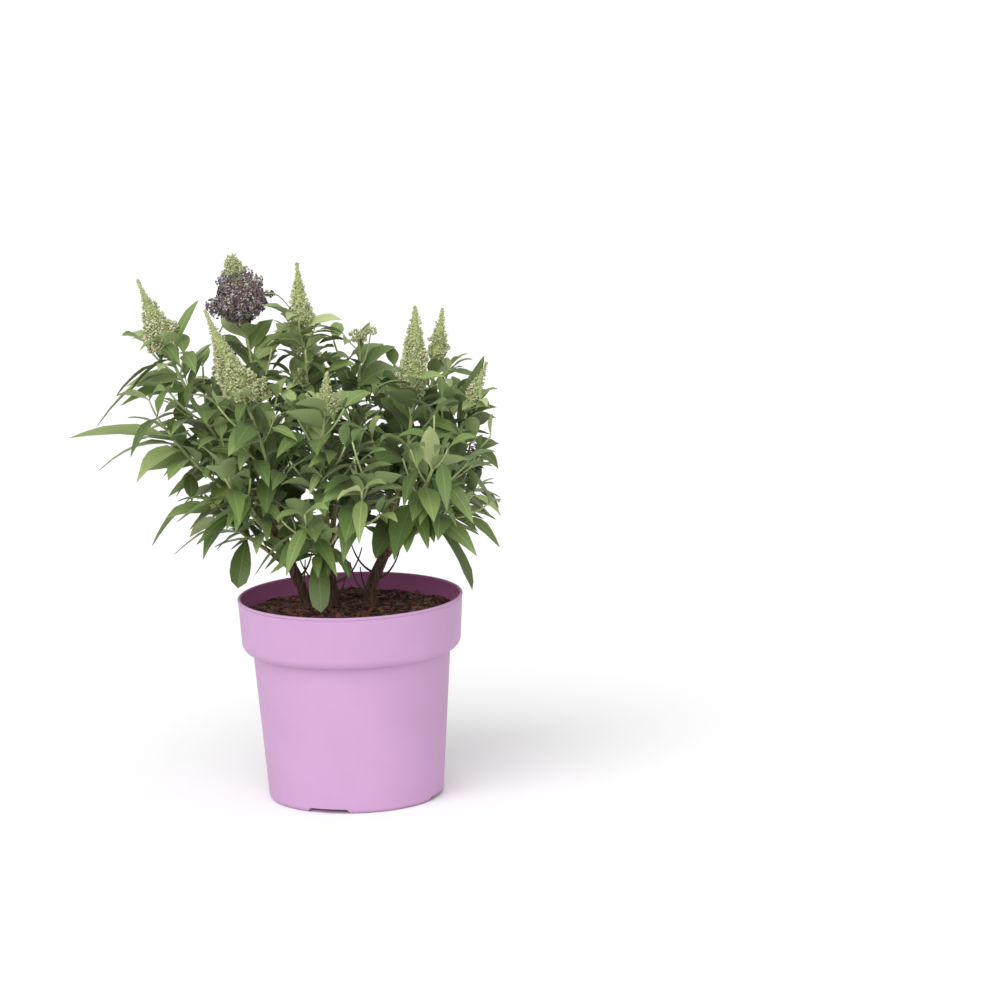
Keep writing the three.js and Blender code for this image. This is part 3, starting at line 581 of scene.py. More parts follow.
space_steps = stacked([segments(shoot.line, shoot.index, 0) for shoot in shoots]
                     + [segments(leaf.at([0.05, 0.4, 0.75, 1]), shoot.index, 0)
                        for shoot in shoots for leaf in shoot.aimed])
limb_steps = stacked(
    [segments(stem_path(stem).at(np.linspace(0, 1, 9)), -1, stem["radius"]) for stem in STEMS.values()]
    + [segments(shoot.path.at(np.linspace(0, SHOOT["bare"], 6)), shoot.index, SHOOT["bough_radius"])
       for shoot in shoots]
    + [segments(np.stack([shoot.tip, shoot.top]), shoot.index, shoot.width / 2)
       for shoot in shoots if shoot.top is not None])


def distances(steps, points):
    """The distance of every point from every step of the lines: to the step's nearest point."""
    start, end = steps[:2]
    way = end - start
    along = np.einsum("psk,sk->ps", points[:, None] - start[None], way) / np.sum(way * way, axis=1)
    nearest = start[None] + np.clip(along, 0, 1)[..., None] * way[None]
    return np.linalg.norm(points[:, None] - nearest, axis=2)


def in_own_space(shoot, points, margin=MARGIN, low=None, high=None):
    """True if every point is nearer to its own shoot's line than to any other, clear of every limb
    and spike of another, above pot and soil, and inside the crown."""
    gaps = distances(space_steps, points)
    mine = space_steps[2] == shoot.index
    own = gaps[:, mine].min(axis=1)
    if np.any(gaps[:, ~mine].min(axis=1) < own + margin):
        return False
    _, _, owner, thickness = limb_steps
    others = owner != shoot.index
    if np.any(distances(limb_steps, points)[:, others] < thickness[others] + LIMB_CLEAR):
        return False
    x, y, z = points.T
    floor = (low or shoot.low) + CROWN["rise"] * np.maximum(0, np.hypot(x, y) - POT["rim"])
    floor = np.minimum(floor, shoot.tip[2] - BELOW_TIP)
    if high is None:
        high = CROWN["high"] if shoot.top is None else shoot.tip[2] + shoot.above
    inside = (x > CROWN["left"]) & (x < CROWN["right"]) & (y > CROWN["front"]) & (y < CROWN["back"])
    return bool(np.all(inside & (z > floor) & (z < high)))


def leaving(path, share, turn, opening):
    """The direction that leaves a path at an opening angle, turned about it."""
    along = path.heading(share)
    level = level_across(along)
    other = unit(np.cross(along, level))
    turn, opening = math.radians(turn), math.radians(opening)
    outward = level * math.cos(turn) + other * math.sin(turn)
    return unit(along * math.cos(opening) + outward * math.sin(opening))


def passes(faces, others):
    """True if an edge of one set of triangles goes through a triangle of the other: the ray's
    barycentric coordinates and its distance all lie within bounds."""
    start = faces.reshape(-1, 3)
    way = np.roll(faces, -1, axis=1).reshape(-1, 3) - start
    corner = others[:, 0]
    edge1 = others[:, 1] - corner
    edge2 = others[:, 2] - corner
    p = np.cross(way[:, None], edge2[None])
    det = np.einsum("sok,ok->so", p, edge1)
    det = np.where(np.abs(det) < 1e-9, 1e-9, det)
    t = start[:, None] - corner[None]
    u = np.einsum("sok,sok->so", t, p) / det
    q = np.cross(t, np.broadcast_to(edge1[None], t.shape))
    v = np.einsum("sk,sok->so", way, q) / det
    w = np.einsum("ok,sok->so", edge2, q) / det
    return bool(np.any((u > 0) & (v > 0) & (u + v < 1) & (w > 0) & (w < 1)))


# How a leaf may be set, tried in turn: its swing about the stem, its size, and how far it closes up.
TRIES = [(0, 1, 0), (22, 1, 0), (-22, 1, 0), (0, 0.95, 16), (40, 0.95, 8), (-40, 0.95, 8),
         (14, 0.85, 26), (-14, 0.85, 26), (30, 0.72, 14), (-30, 0.72, 14), (0, 0.6, 8)]


class Mass:
    """What has grown on one shoot so far."""

    def __init__(self, shoot):
        self.shoot = shoot
        self.blades = np.zeros((0, 3, 3))
        self.leaves = []
        self.twigs = []
        self.sprigs = []
        self.nodes = []
        self.pairs = max(3, round(shoot.path.length * (1 - SHOOT["bare"]) / SHOOT["spacing"]))
        self.fine = False

    def free(self, blade):
        """True if a blade crosses none of this shoot's, and for finer growth none of any shoot's."""
        others = self.blades
        if self.fine:
            others = np.concatenate([mass.blades for mass in masses])
            away = np.linalg.norm(others.mean(axis=1) - blade.mean(axis=(0, 1)), axis=1)
            others = others[away < NEAR]
        return not len(others) or not (passes(blade, others) or passes(others, blade))

    def allows(self, points):
        return in_own_space(self.shoot, points, FINE_MARGIN if self.fine else MARGIN)

    def keep_leaf(self, leaf, age):
        leaf.age = age
        self.blades = np.concatenate([self.blades, leaf.blade()])
        self.leaves.append(leaf)

    def place_leaf(self, path, share, age, turn, opening, length, width, droop, roll, stalk):
        """Adds a leaf, set in the first way that keeps to the space and off the leaves before it, and
        says whether there was one. age runs from 0, an old leaf deep in the crown, to 1, a young one at
        the tip."""
        axis = path.at(share)
        for swing, scale, close in TRIES:
            direction = leaving(path, share, turn + swing, opening - close)
            size = length * scale
            leaf = Leaf(axis, direction, size, size * width, droop, roll, stalk)
            if self.allows(leaf.probes()) and self.free(leaf.blade()):
                self.keep_leaf(leaf, age)
                return True
        return False

    def keep_twig(self, path, radius, tip_radius, used=1.0):
        """A twig ends at its highest leaf, and one without leaves isn't drawn."""
        if used:
            self.twigs.append((path, radius, tip_radius, used))

    def twig_path(self, share, turn, size, opening):
        """Out at the opening angle for half of its length, then bending up."""
        direction = leaving(self.shoot.path, share, turn, opening)
        root = self.shoot.path.at(share)
        bend = root + direction * size / 2
        return Path(root, bend, bend + unit(mix(direction, UP, TWIG["lift"])) * size / 2)

    def room_for(self, path):
        """Keeps a narrow strip along the twig, if nothing is in its way."""
        heel, middle, end = path.at([0.12, 0.5, 1])
        side = level_across(path.heading(0.5)) * TWIG["radius"]
        strip = np.array([[heel, middle - side, middle + side], [middle - side, end, middle + side]])
        if not (self.allows(path.at([0.35, 0.7, 1])) and self.free(strip)):
            return False
        self.blades = np.concatenate([self.blades, strip])
        return True

    def keep_sprig(self, path, radius, width):
        """A side spike on its stalk, if nothing is in its way."""
        if self.room_for(path):
            self.keep_twig(path, radius, SPRIG["tip_radius"])
            self.sprigs.append((path, width))


def grow_pairs(mass, path, pairs, place, kind, form):
    """Pairs of leaves along a twig or tuft, each pair across the last. pairs gives their numbers, shares
    along it, opening angles and lengths. Returns the share of the highest leaf that found room."""
    index = mass.shoot.index
    used = 0
    for i, along, opening, length in pairs:
        age = form["age"][0] + form["age"][1] * along
        for side in (0, 180):
            turn = side + 90 * (i % 2) + 20 * sway(index, place + i, kind)
            roll = LEAF["roll"] * sway(index, place + i + side, kind + 1)
            if mass.place_leaf(path, along, age, turn, opening, length, LEAF["width"] * form["slim"],
                               LEAF["droop"] * form["less_droop"], roll, form["stalk"]):
                used = along
    return used


def grow_twig(mass, share, turn, place):
    """A side twig over a leaf, bending up, with pairs of smaller leaves."""
    size = TWIG["length"] * (1.12 - 0.45 * share) * (0.85 + 0.3 * chance(mass.shoot.index, place, 11))
    path = mass.twig_path(share, turn, size, TWIG["open"])
    if not mass.room_for(path):
        return
    count = max(1, int(size // TWIG["spacing"]))
    pairs = []
    for i in range(1, count + 1):
        along = min(LAST_NODE, i / count)
        pairs.append((i, along, TWIG["tip_open"] if i == count else TWIG["leaf_open"],
                      LEAF["length"] * TWIG["leaf"] * (1.05 - 0.25 * along)))
    used = grow_pairs(mass, path, pairs, place * 7, 12, TWIG)
    mass.keep_twig(path, TWIG["radius"], TWIG["tip_radius"], used)


def shoot_leaf(mass, i, side, step=0.0, scale=1.0):
    """One leaf of a pair on the shoot itself. step moves it up by part of the way to the next pair."""
    shoot = mass.shoot
    index = shoot.index
    height = (i + 0.35 + step) / (mass.pairs + 0.5)
    share = min(LAST_NODE, mix(SHOOT["bare"], 1, height))
    spin = index * 47 + 90 * (i % 2) + 14 * sway(index, i, 2) + 90 * step * 2
    place = i * 2 + (1 if side else 0) + (400 if step else 0)
    if chance(index, place, 8) >= shoot.thin:
        size = mix(LEAF["length"], LEAF["top_length"], max(0, height - 0.4) / 0.6)
        opening = LEAF["open"] + 10 * sway(index, place, 4) - 14 * height * height
        if i == mass.pairs and shoot.top is None:
            opening = LEAF["tip_open"]
        mass.place_leaf(shoot.path, share, age=height, turn=spin + side, opening=opening,
                        length=size * (1 + 0.14 * sway(index, place, 3)) * scale,
                        width=LEAF["width"] * (1 + 0.25 * sway(index, place, 9)),
                        droop=LEAF["droop"] * (1.25 - 0.7 * height + 0.3 * sway(index, place, 5)),
                        roll=LEAF["roll"] * sway(index, place, 7), stalk=LEAF["stalk"])
    return share, spin + side, place


def grow_tuft(mass, share, turn, place):
    """A short side shoot in an axil, with pairs of small leaves."""
    size = TUFT["length"] + TUFT["longer"] * chance(mass.shoot.index, place, 21)
    path = mass.twig_path(share, turn, size, TUFT["open"])
    if not mass.room_for(path):
        return
    pairs = [(i, *pair, size * (1.25 - 0.25 * i)) for i, pair in enumerate(TUFT["pairs"])]
    used = grow_pairs(mass, path, pairs, place * 11, 22, TUFT)
    mass.keep_twig(path, TUFT["radius"], TUFT["tip_radius"], used)


def grow_mass(shoot):
    """The leaves and twigs that the frame has too."""
    mass = Mass(shoot)
    for leaf in shoot.aimed:
        if (in_own_space(shoot, leaf.probes(), low=SOIL["middle"] + 10, high=CROWN["high"])
                and mass.free(leaf.blade())):
            # Those that hang lowest are old, and those furthest out at the left young.
            x, _, z = leaf.at(1)[0]
            mass.keep_leaf(leaf, 0.05 if z < CROWN["low"] else 1.1 if x < -200 else 0.5)
    for i in range(mass.pairs + 1):
        for side in (0, 180):
            share, turn, place = shoot_leaf(mass, i, side)
            has_twig = 0 < i < mass.pairs and chance(shoot.index, place, 6) < TWIG["chance"]
            if has_twig:
                grow_twig(mass, share + TWIG["above"] / shoot.path.length, turn + TWIG["beside"], place)
            mass.nodes.append((share, turn, place, has_twig))
    return mass


def grow_finer(mass):
    """More leaves between the pairs, more twigs, side spikes and tufts of small leaves."""
    mass.fine = True
    shoot = mass.shoot
    index = shoot.index
    for i in range(mass.pairs):
        for side in (0, 180):
            shoot_leaf(mass, i, side, FINER["step"], FINER["leaf"])
    for owner, share, tip, width in SIDE_SPIKES:
        if owner == shoot.name:
            root = shoot.path.at(share)
            bend = root + (np.array(tip, float) - root) * (0.7, 0.7, 0.3)
            mass.keep_sprig(Path(root, bend, tip), 1.0, width)
    if shoot.top is not None and shoot.name != FLAT_HEAD:
        for turn in (index * 31, index * 31 + 180):
            size = SPRIG["length"] + SPRIG["longer"] * chance(index, turn, 33)
            path = mass.twig_path(SPRIG["share"], turn, size, SPRIG["open"])
            mass.keep_sprig(path, SPRIG["radius"], SPRIG["width"])
    for share, turn, place, has_twig in mass.nodes:
        if not has_twig and chance(index, place, 25) < FINER["twig_chance"]:
            grow_twig(mass, share + TWIG["above"] / shoot.path.length, turn - TWIG["beside"], place + 200)
        elif chance(index, place, 24) < TUFT["chance"]:
            grow_tuft(mass, share + TUFT["above"] / shoot.path.length, turn - TUFT["beside"], place)


masses = [grow_mass(shoot) for shoot in shoots]
for mass in masses:
    grow_finer(mass)

# ------------------------------------------------------------------ leaves

STATIONS = np.array([0, 0.09, 0.2, 0.34, 0.5, 0.66, 0.81, 0.93, 1.0])
COLUMNS = 5  # left margin, left of the rib, right of the rib, right margin, underside


def leaf_template():
    """Faces of one leaf: strips between stations, a fan to the tip and a cap on the stalk, with a slot
    for each: 0 upper face, 1 underside, 2 midrib."""
    rings = len(STATIONS) - 1
    quads = grid_faces(rings, COLUMNS)
    column = np.arange(len(quads)) % COLUMNS
    is_upper = column < 3
    kinds = np.array([0, 2, 0, 1, 1])
    under = np.roll(quads[~is_upper], -1, axis=1)
    cap = np.array([[0, 2, 1], [0, 3, 2], [0, 4, 3]])
    faces = [triangles(quads[is_upper]), triangles(under),
             fan(rings * COLUMNS, (rings - 1) * COLUMNS, COLUMNS), cap]
    slots = [np.tile(kinds[column[is_upper]], 2), np.tile(kinds[column[~is_upper]], 2), kinds, [1] * 3]
    return np.concatenate(faces), np.concatenate(slots)


def leaf_points(leaves, thickness=0.5, fold=0.26):
    """All leaves at once. Half width = c * u^a * (1 - u)^b over the blade's share u, on a thin stalk, and
    b is larger, so the tip is drawn out further, on young leaves than on old ones. The margins stand up
    by fold times the half width and wave a little, and the blade twists."""
    fields = ("root", "direction", "across", "length", "width", "droop", "age", "blunt", "folded")
    root, direction, across, length, width, droop, age, blunt, folded = (
        np.array([getattr(leaf, field) for leaf in leaves]) for field in fields)
    count = len(leaves)
    blunt = blunt[:, None]
    width = width * np.where(folded, 0.5, 1)
    s = STATIONS[:-1]
    u = np.clip((s - 0.07) / 0.93, 0, 1)
    rise = np.where(blunt, 1.3, 0.8)
    fall = np.where(blunt, 0.5, mix(0.62, 1.3, np.clip(age[:, None] * 1.7, 0, 1)))
    peak = rise / (rise + fall)
    shape = u**rise * (1 - u) ** fall / (peak**rise * (1 - peak) ** fall)

    def rib(share):
        sunk = (length * droop)[:, None] * share**2
        return (root[:, None] + direction[:, None] * (length[:, None] * share)[..., None]
                - UP * sunk[..., None])

    centre = rib(s[None])
    heading = unit(direction[:, None] - UP * (2 * droop[:, None] * s[None])[..., None])
    flat = np.broadcast_to(across[:, None], centre.shape)
    flat = unit(flat - heading * np.sum(flat * heading, axis=2, keepdims=True))
    above = np.cross(flat, heading)
    twist = (rng.uniform(-0.5, 0.5, (count, 1)) * s[None])[..., None]
    side = flat * np.cos(twist) + above * np.sin(twist)
    upward = above * np.cos(twist) - flat * np.sin(twist)
    half = width[:, None] / 2 * shape + 0.3 + 0.002 * length[:, None]
    phase = rng.uniform(0, 6.28, (count, 1))
    wave = 0.07 * np.sin(s[None] * 14 + phase) * half
    lift = rng.uniform(0.4, 1.7, (count, 1)) * fold * half
    rib_side = side * (0.32 + 0.25 * (1 - s[None]) * np.ones((count, 1)))[..., None]
    rings = np.stack([
        centre + side * half[..., None] + upward * (lift + wave)[..., None],
        centre + rib_side + upward * thickness * 0.5,
        centre - rib_side + upward * thickness * 0.5,
        centre - side * half[..., None] + upward * (lift - wave)[..., None],
        centre - upward * thickness * 0.9,
    ], axis=2)
    points = np.concatenate([rings.reshape(count, -1, 3), rib(np.array([[1.0]]))], axis=1)
    across_uv = np.array([0, 0.47, 0.53, 1, 0.5])
    ring_uv = np.stack(np.broadcast_arrays(across_uv[None], s[:, None]), -1).reshape(-1, 2)
    return points.reshape(-1, 3), np.tile(np.concatenate([ring_uv, [[0.5, 1.0]]]), (count, 1))


# Colours of the upper face, underside and midrib, from old leaves to young ones.
TINTS = {
    "deep": ("4F622F", "5B6E3E", "62753F"),
    "dark": ("5B7139", "697D49", "6E8348"),
    "middle": ("697F42", "768A52", "7D9252"),
    "bright": ("7C9154", "86995E", "92A664"),
    "fresh": ("92A467", "97A76D", "A6B478"),
    "young": ("A9B87E", "A9B77F", "BAC58E"),
    "yellowing": ("8C9A3E", "98A052", "A3AA5E"),
}


def tint_of(leaf):
    """Old leaves inside the crown are deep green, outer and higher ones brighter, and the youngest
    silvery."""
    value = 0.08 + 0.42 * leaf.age + (0.04 if leaf.blunt else 0.16) * rng.normal()
    value += 0.14 * np.clip((leaf.root[2] - 320) / 60, 0, 1)
    if leaf.length < 26:
        value += 0.3
    if leaf.age < 0.4 and not leaf.blunt and rng.random() < 0.05:
        return "yellowing"
    return list(TINTS)[int(np.clip(value * 6, 0, 5))]


def make_leaves():
    """One piece for each tint: every leaf of that tint, with its upper face, underside and midrib."""
    dealt = {name: [] for name in TINTS}
    for mass in masses:
        for leaf in mass.leaves:
            dealt[tint_of(leaf)].append(leaf)
    faces, slots = leaf_template()
    pieces = []
    for name, leaves in dealt.items():
        upper, under, rib = TINTS[name]
        materials = [leaf_upper("leaf_upper_" + name, upper), plain_growth("leaf_underside_" + name, under),
                     plain_growth("leaf_midrib_" + name, rib, 0.6)]
        points, uv = leaf_points(leaves)
        pieces.append(mesh_piece("leaves_" + name, points, repeated(faces, len(leaves)), materials,
                                 np.tile(slots, len(leaves)), uv, sharp=55))
    return pieces


# ------------------------------------------------------------------ stems, boughs and twigs

def make_woody_stems():
    """Tapering stems with a flared foot. The bark's strips raise and sink the surface in long narrow
    ridges: noise drawn out about sixfold along the stem."""
    bark = woody_bark()
    share = np.linspace(0, 1, 90)
    sides = 40
    pieces = []
    for name, stem in STEMS.items():
        path = stem_path(stem)
        flare = np.maximum(0, 1 - share * path.length / FLARE["height"]) ** 2
        radii = mix(stem["radius"], stem["fork_radius"], share) * (1 + (FLARE["factor"] - 1) * flare)
        radii[-3:] *= (0.96, 0.8, 0.45)
        ridges = limb_relief(share, path.length, sides, 2.2, 14, stem["radius"])
        lumps = limb_relief(share, path.length, sides, 2.2, 14, 9.0, 3.0)
        points, faces = tube(path.at(share), radii, sides, 0.16 * ridges + 0.14 * lumps - 0.02)
        piece = mesh_piece("bark_stem_" + name, points, faces, [bark])
        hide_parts("woody_stem_" + name)
        pieces.append(piece)
    return pieces


def make_bare_twigs():
    """Thin dead side twigs low on the woody stems: out first, then up, each round from the last by the
    golden angle."""
    heap = Heap()
    for number, stem in enumerate(STEMS.values()):
        path = stem_path(stem)
        for k in range(6):
            turn = 2.4 * k + number + 0.4 * sway(number, k, 51)
            spoke = np.array([math.cos(turn), math.sin(turn), 0])
            size = 20 + 26 * chance(number, k, 53)
            root = path.at(0.1 + 0.13 * k + 0.04 * sway(number, k, 52))
            bend = root + (spoke * 0.5 + UP * 0.1) * size
            places = Path(root, bend, bend + (spoke * 0.2 + UP * 0.7) * size).at(np.linspace(0, 1, 10))
            heap.add(*tube(places, np.linspace(1.1, 0.5, 10), 6))
    piece = heap.piece("bare_twigs", plain_growth("dead_twig", "5A4133", 0.9, 0.0006))
    return [piece]


def make_boughs():
    """Each bough in one tapering tube, with raised rings where old leaf pairs stood. Its bark is brown
    at the foot, then tan, then olive."""
    heap = Heap()
    rings, sides = 26, 12
    share = np.linspace(0, SHOOT["bare"] * 1.02, rings)
    radii = mix(SHOOT["bough_radius"], SHOOT["stem_radius"], share / SHOOT["bare"])
    for shoot in shoots:
        ridges = limb_relief(share, shoot.path.length, sides, 1.6, 9, shoot.index)
        joint = np.exp(-((share[:, None] * shoot.path.length % 17 - 8.5) / 1.2) ** 2)
        points, faces = tube(shoot.path.at(share), radii, sides, 0.13 * ridges + 0.22 * joint)
        heap.add(points, faces, three_slots(rings, sides, 4, 6))
    piece = heap.piece("boughs_bark", plain_growth("bough_bark", "644635", 0.85, 0.0006),
                       plain_growth("bough_tan", "7D6847", 0.8), plain_growth("bough_olive", "8A8257"))
    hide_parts(*["bough_" + shoot.name for shoot in shoots])
    return [piece]


def make_shoots():
    """Leafy stems and side twigs: tan low down, pale green above, slightly swollen at each leaf pair."""
    heap = Heap()
    rings, sides = 34, 8
    share = np.linspace(SHOOT["bare"], 1, rings)
    thin_radii = mix(SHOOT["stem_radius"], SHOOT["tip_radius"], np.linspace(0, 1, rings)) * 0.86
    for mass in masses:
        path = mass.shoot.path
        joint = np.exp(-(((share - SHOOT["bare"]) * path.length % SHOOT["spacing"] - 8) / 1.5) ** 2)
        points, faces = tube(path.at(share), thin_radii * (1 + 0.22 * joint), sides)
        heap.add(points, faces, three_slots(rings, sides, 3, 7))
        for path, radius, tip_radius, used in mass.twigs:
            reach = np.linspace(0, used, 7)
            heap.add(*tube(path.at(reach), mix(radius, tip_radius, reach) * 0.75, 6), 2)
    piece = heap.piece("shoots", plain_growth("shoot_tan", "8F8A5A"), plain_growth("shoot_olive", "949E63"),
                       plain_growth("shoot_pale_green", "A6B27A"))
    return [piece]


# ------------------------------------------------------------------ flower spikes

BUD_TINTS = {"olive": "9BA36F", "green": "AAB07E", "lime": "BABD92", "cream": "D5CFB0"}
FLORET_TINTS = {"dusky": "947B75", "violet": "9E8798", "mauve": "BFACB2", "lilac": "DCD3DA"}


def bud_template():
    """A bud with five sides, of unit length along +Z."""
    rings = rings_of(5, np.array([[0.42], [0.5]]), np.array([[-0.2], [0.32]]))
    return capped(rings, (0, 0, -0.5), (0, 0, 0.62))


def floret_template():
    """An open flower: a narrow tube that widens to four lobes, each lobe a kite that turns back."""
    is_lobe = np.arange(8) % 2 == 0
    throat = rings_of(8, 0.13, 0.38)
    face = rings_of(8, np.where(is_lobe, 1.0, 0.42) * 0.62, np.where(is_lobe, 0.36, 0.5))
    return capped(np.array([throat, face]), (0, 0, -0.6), (0, 0, 0.3))


def scattered(template, places, headings, lengths, widths, spins):
    """Copies of a template, each turned so that its +Z lies along its heading."""
    points, faces = template
    headings = unit(headings)
    helper = np.where(np.abs(headings[:, 2:]) > 0.9, [[1.0, 0, 0]], [[0, 0, 1.0]])
    first = unit(np.cross(headings, helper))
    second = np.cross(headings, first)
    turned = np.cos(spins)[:, None] * first + np.sin(spins)[:, None] * second
    axes = np.stack([turned, np.cross(headings, turned), headings], 1)
    axes = axes * np.stack([widths, widths, lengths], -1)[..., None]
    made = np.einsum("pk,nkj->npj", points, axes) + places[:, None]
    return made.reshape(-1, 3), repeated(faces, len(places))


FULLER = {"middle_spike": 1.25, "left_spike": 1.08}  # how much wider the loose clusters stand out
BLOOM_OUTLINE = ((0, 0.05, 0.12, 0.2, 0.32, 0.46, 0.61, 0.73, 0.87, 0.95, 1),
                 (0.08, 0.14, 0.36, 0.8, 1, 0.87, 0.68, 0.46, 0.3, 0.17, 0.08))


def spike_outline(height, width, full, taper):
    """Half the width of a spike at a share of its height: it swells from the foot, then narrows by
    ((1 - height) / full) to the power taper. A bloom, whose full is 0, follows its own table."""
    if not full:
        return width / 2 * np.interp(height, *BLOOM_OUTLINE)
    return max(1.2, width / 2 * min(1, 0.5 + height * 4) * min(1, (1 - height) / full) ** taper)


def panicle(seed, base, top, width, full=0.75, taper=1.0, low=0.0, high=1.0, crowd=1.2, ragged=0.2,
            lift=0.3, ball_share=0.38, around=6):
    """Where the buds of a spike sit. Whorls climb the axis ever closer together; each holds clusters
    that stand out to the spike's outline, lift times as far up as out, and each cluster is a ball of
    buds, ball_share of the outline in radius. Returns the buds' places, headings and shares of height."""
    way = top - base
    length = np.linalg.norm(way)
    axis = way / length
    level = unit(np.cross(axis, [0.3, 1.0, 0.2]))
    other = np.cross(axis, level)
    places, headings, heights = [], [], []
    height = 0.02
    whorl = 0
    while height < 0.995:
        outline = spike_outline(height, width, full, taper)
        clusters = around if outline > 8 else 5 if outline > 3.5 else 4
        for c in range(clusters):
            turn = (c + 0.5 * (whorl % 2) + 0.2 * sway(seed, whorl * 9 + c, 41)) / clusters * 2 * math.pi
            spoke = level * math.cos(turn) + other * math.sin(turn)
            ball = max(0.9, outline * ball_share * (1 + 0.2 * sway(seed, whorl * 9 + c, 42)))
            reach = max(0, outline * (1 + ragged * sway(seed, whorl * 9 + c, 43)) - ball)
            centre = base + axis * (height * length + reach * lift) + spoke * reach
            count = max(3, int(round(crowd * 2.2 * ball**2)))
            spread = unit(rng.normal(size=(count, 3)) + spoke * 0.5)
            if low <= height <= high:
                places.append(centre + spread * ball * rng.uniform(0.55, 1, (count, 1)))
                headings.append(unit(spread + spoke * 0.7 + axis * 2 * lift))
                heights.append(np.full(count, height))
        height += (1.0 + 1.3 * ball_share * outline) / length
        whorl += 1
    return np.concatenate(places), np.concatenate(headings), np.concatenate(heights)


def add_kinds(heaps, template, kinds, *columns):
    """Shares out copies of a template among heaps by the name of each one's kind."""
    spins = rng.uniform(0, 6.28, len(kinds))
    for kind, heap in heaps.items():
        mine = kinds == kind
        if mine.any():
            heap.add(*scattered(template, *(column[mine] for column in (*columns, spins))))


def add_body(heap, base, top, width, full, taper, low=0.02, high=0.97, packed=0.66):
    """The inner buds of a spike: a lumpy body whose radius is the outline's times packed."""
    share = np.linspace(low, high, 24)
    radii = [packed * spike_outline(height, width, full, taper) for height in share]
    share = share[:, None]
    lumps = 0.16 * np.sin(full_turn(12) * 5 + share * 40) * np.cos(share * 90)
    heap.add(*tube(base + (top - base) * share, radii, 12, lumps))


def add_buds(buds, template, spots, pale):
    """Buds at places, headings and shares of a spike's height. pale is the share of cream ones low on it,
    which are about to open."""
    places, headings, heights = spots
    draw = rng.random(len(places))
    is_pale = (draw < pale) & (heights < 0.5)
    kinds = np.select([is_pale, draw < 0.55, draw < 0.85], ["cream", "lime", "green"], "olive")
    size = rng.uniform(0.8, 1.15, len(places)) * (1 - 0.2 * heights)
    add_kinds(buds, template, kinds, places, headings, size * np.where(is_pale, 4.0, 2.6), size * 1.5)


def add_bloom(buds, florets, bud, spot):
    """The open bloom: florets on the lower three quarters with buds between them, a solid tip of buds,
    and dusky and olive inner bodies, all within the outline of the spot."""
    seed, base, top, width, full, taper = spot
    outline = (base, top, width - 7, full, taper)
    places, headings, heights = panicle(seed, *outline, 0, 0.73, crowd=0.55, ragged=0.28, lift=-0.05,
                                        ball_share=0.2, around=12)
    kinds = rng.choice(list(FLORET_TINTS), len(places), p=[0.24, 0.28, 0.26, 0.22])
    size = rng.uniform(0.7, 1.1, len(places)) * (1.1 - 0.7 * heights)
    add_kinds(florets, floret_template(), kinds, places, headings, 9.5 * size, 3.8 * size)
    add_buds(buds, bud, panicle(seed, *outline, 0, 0.6, crowd=0.3, lift=0, ball_share=0.2, around=12), 0)
    add_buds(buds, bud, panicle(*spot, 0.64, 1, crowd=1.6, ragged=0.16, lift=0, ball_share=0.3), 0.1)
    add_body(florets["dusky"], *outline, low=0.1, high=0.72, packed=0.36)
    add_body(buds["olive"], *outline, low=0.62, packed=0.5)


def make_spikes():
    """Spikes in bud, the open purple bloom with buds at its tip, and the withered bloom."""
    buds = {kind: Heap() for kind in BUD_TINTS}
    florets = {kind: Heap() for kind in FLORET_TINTS}
    withered = Heap()
    cores = Heap()
    bud = bud_template()
    for mass in masses:
        shoot = mass.shoot
        name = shoot.name
        for number, (path, width) in enumerate(mass.sprigs):
            if name != "dried_bloom":
                start = path.at(0.86 if name == FLAT_HEAD else 0.3)
                add_buds(buds, bud, panicle(shoot.index * 5 + number, start, path.at(1), width), 0.05)
        if shoot.top is None:
            continue
        base, top = shoot.tip, shoot.top
        core = base + (top - base) * np.linspace(-0.03, 0.95, 8)[:, None]
        cores.add(*tube(core, np.linspace(1.3, 0.5, 8), 6))
        if name == FLAT_HEAD:
            base = mix(base, top, 0.6)
        outline = (base, top, shoot.width * FULLER.get(name, 1), shoot.full, shoot.taper)
        spot = (shoot.index, *outline)
        if name == "purple_bloom":
            add_bloom(buds, florets, bud, spot)
        elif name == "dried_bloom":
            places, headings, _ = panicle(*spot, crowd=0.4)
            count = len(places)
            withered.add(*scattered(bud, places, headings - UP * 0.8, rng.uniform(2.5, 5.5, count),
                                    rng.uniform(0.6, 1.4, count), rng.uniform(0, 6.28, count)))
        else:
            if name != FLAT_HEAD:
                add_body(cores, *outline)
            add_buds(buds, bud, panicle(*spot), 0.3 if name == "left_spike" else 0.14)
    pieces = [heap.piece("buds_" + kind, plain_growth("bud_" + kind, BUD_TINTS[kind]))
              for kind, heap in buds.items()]
    pieces += [heap.piece("florets_" + kind, plain_growth("petal_" + kind, FLORET_TINTS[kind]))
               for kind, heap in florets.items()]
    pieces.append(withered.piece("withered_florets", plain_growth("petal_withered", "4A372E", 0.9)))
    pieces.append(cores.piece("spike_stems", plain_growth("spike_stem", "9BAA66")))
    return pieces


# ------------------------------------------------------------------ pot and compost

BAND_FOOT = POT["height"] - POT["band"]  # the height of the band's lower edge
NECK = BAND_FOOT - POT["corner"]  # the height where the corner under the band begins


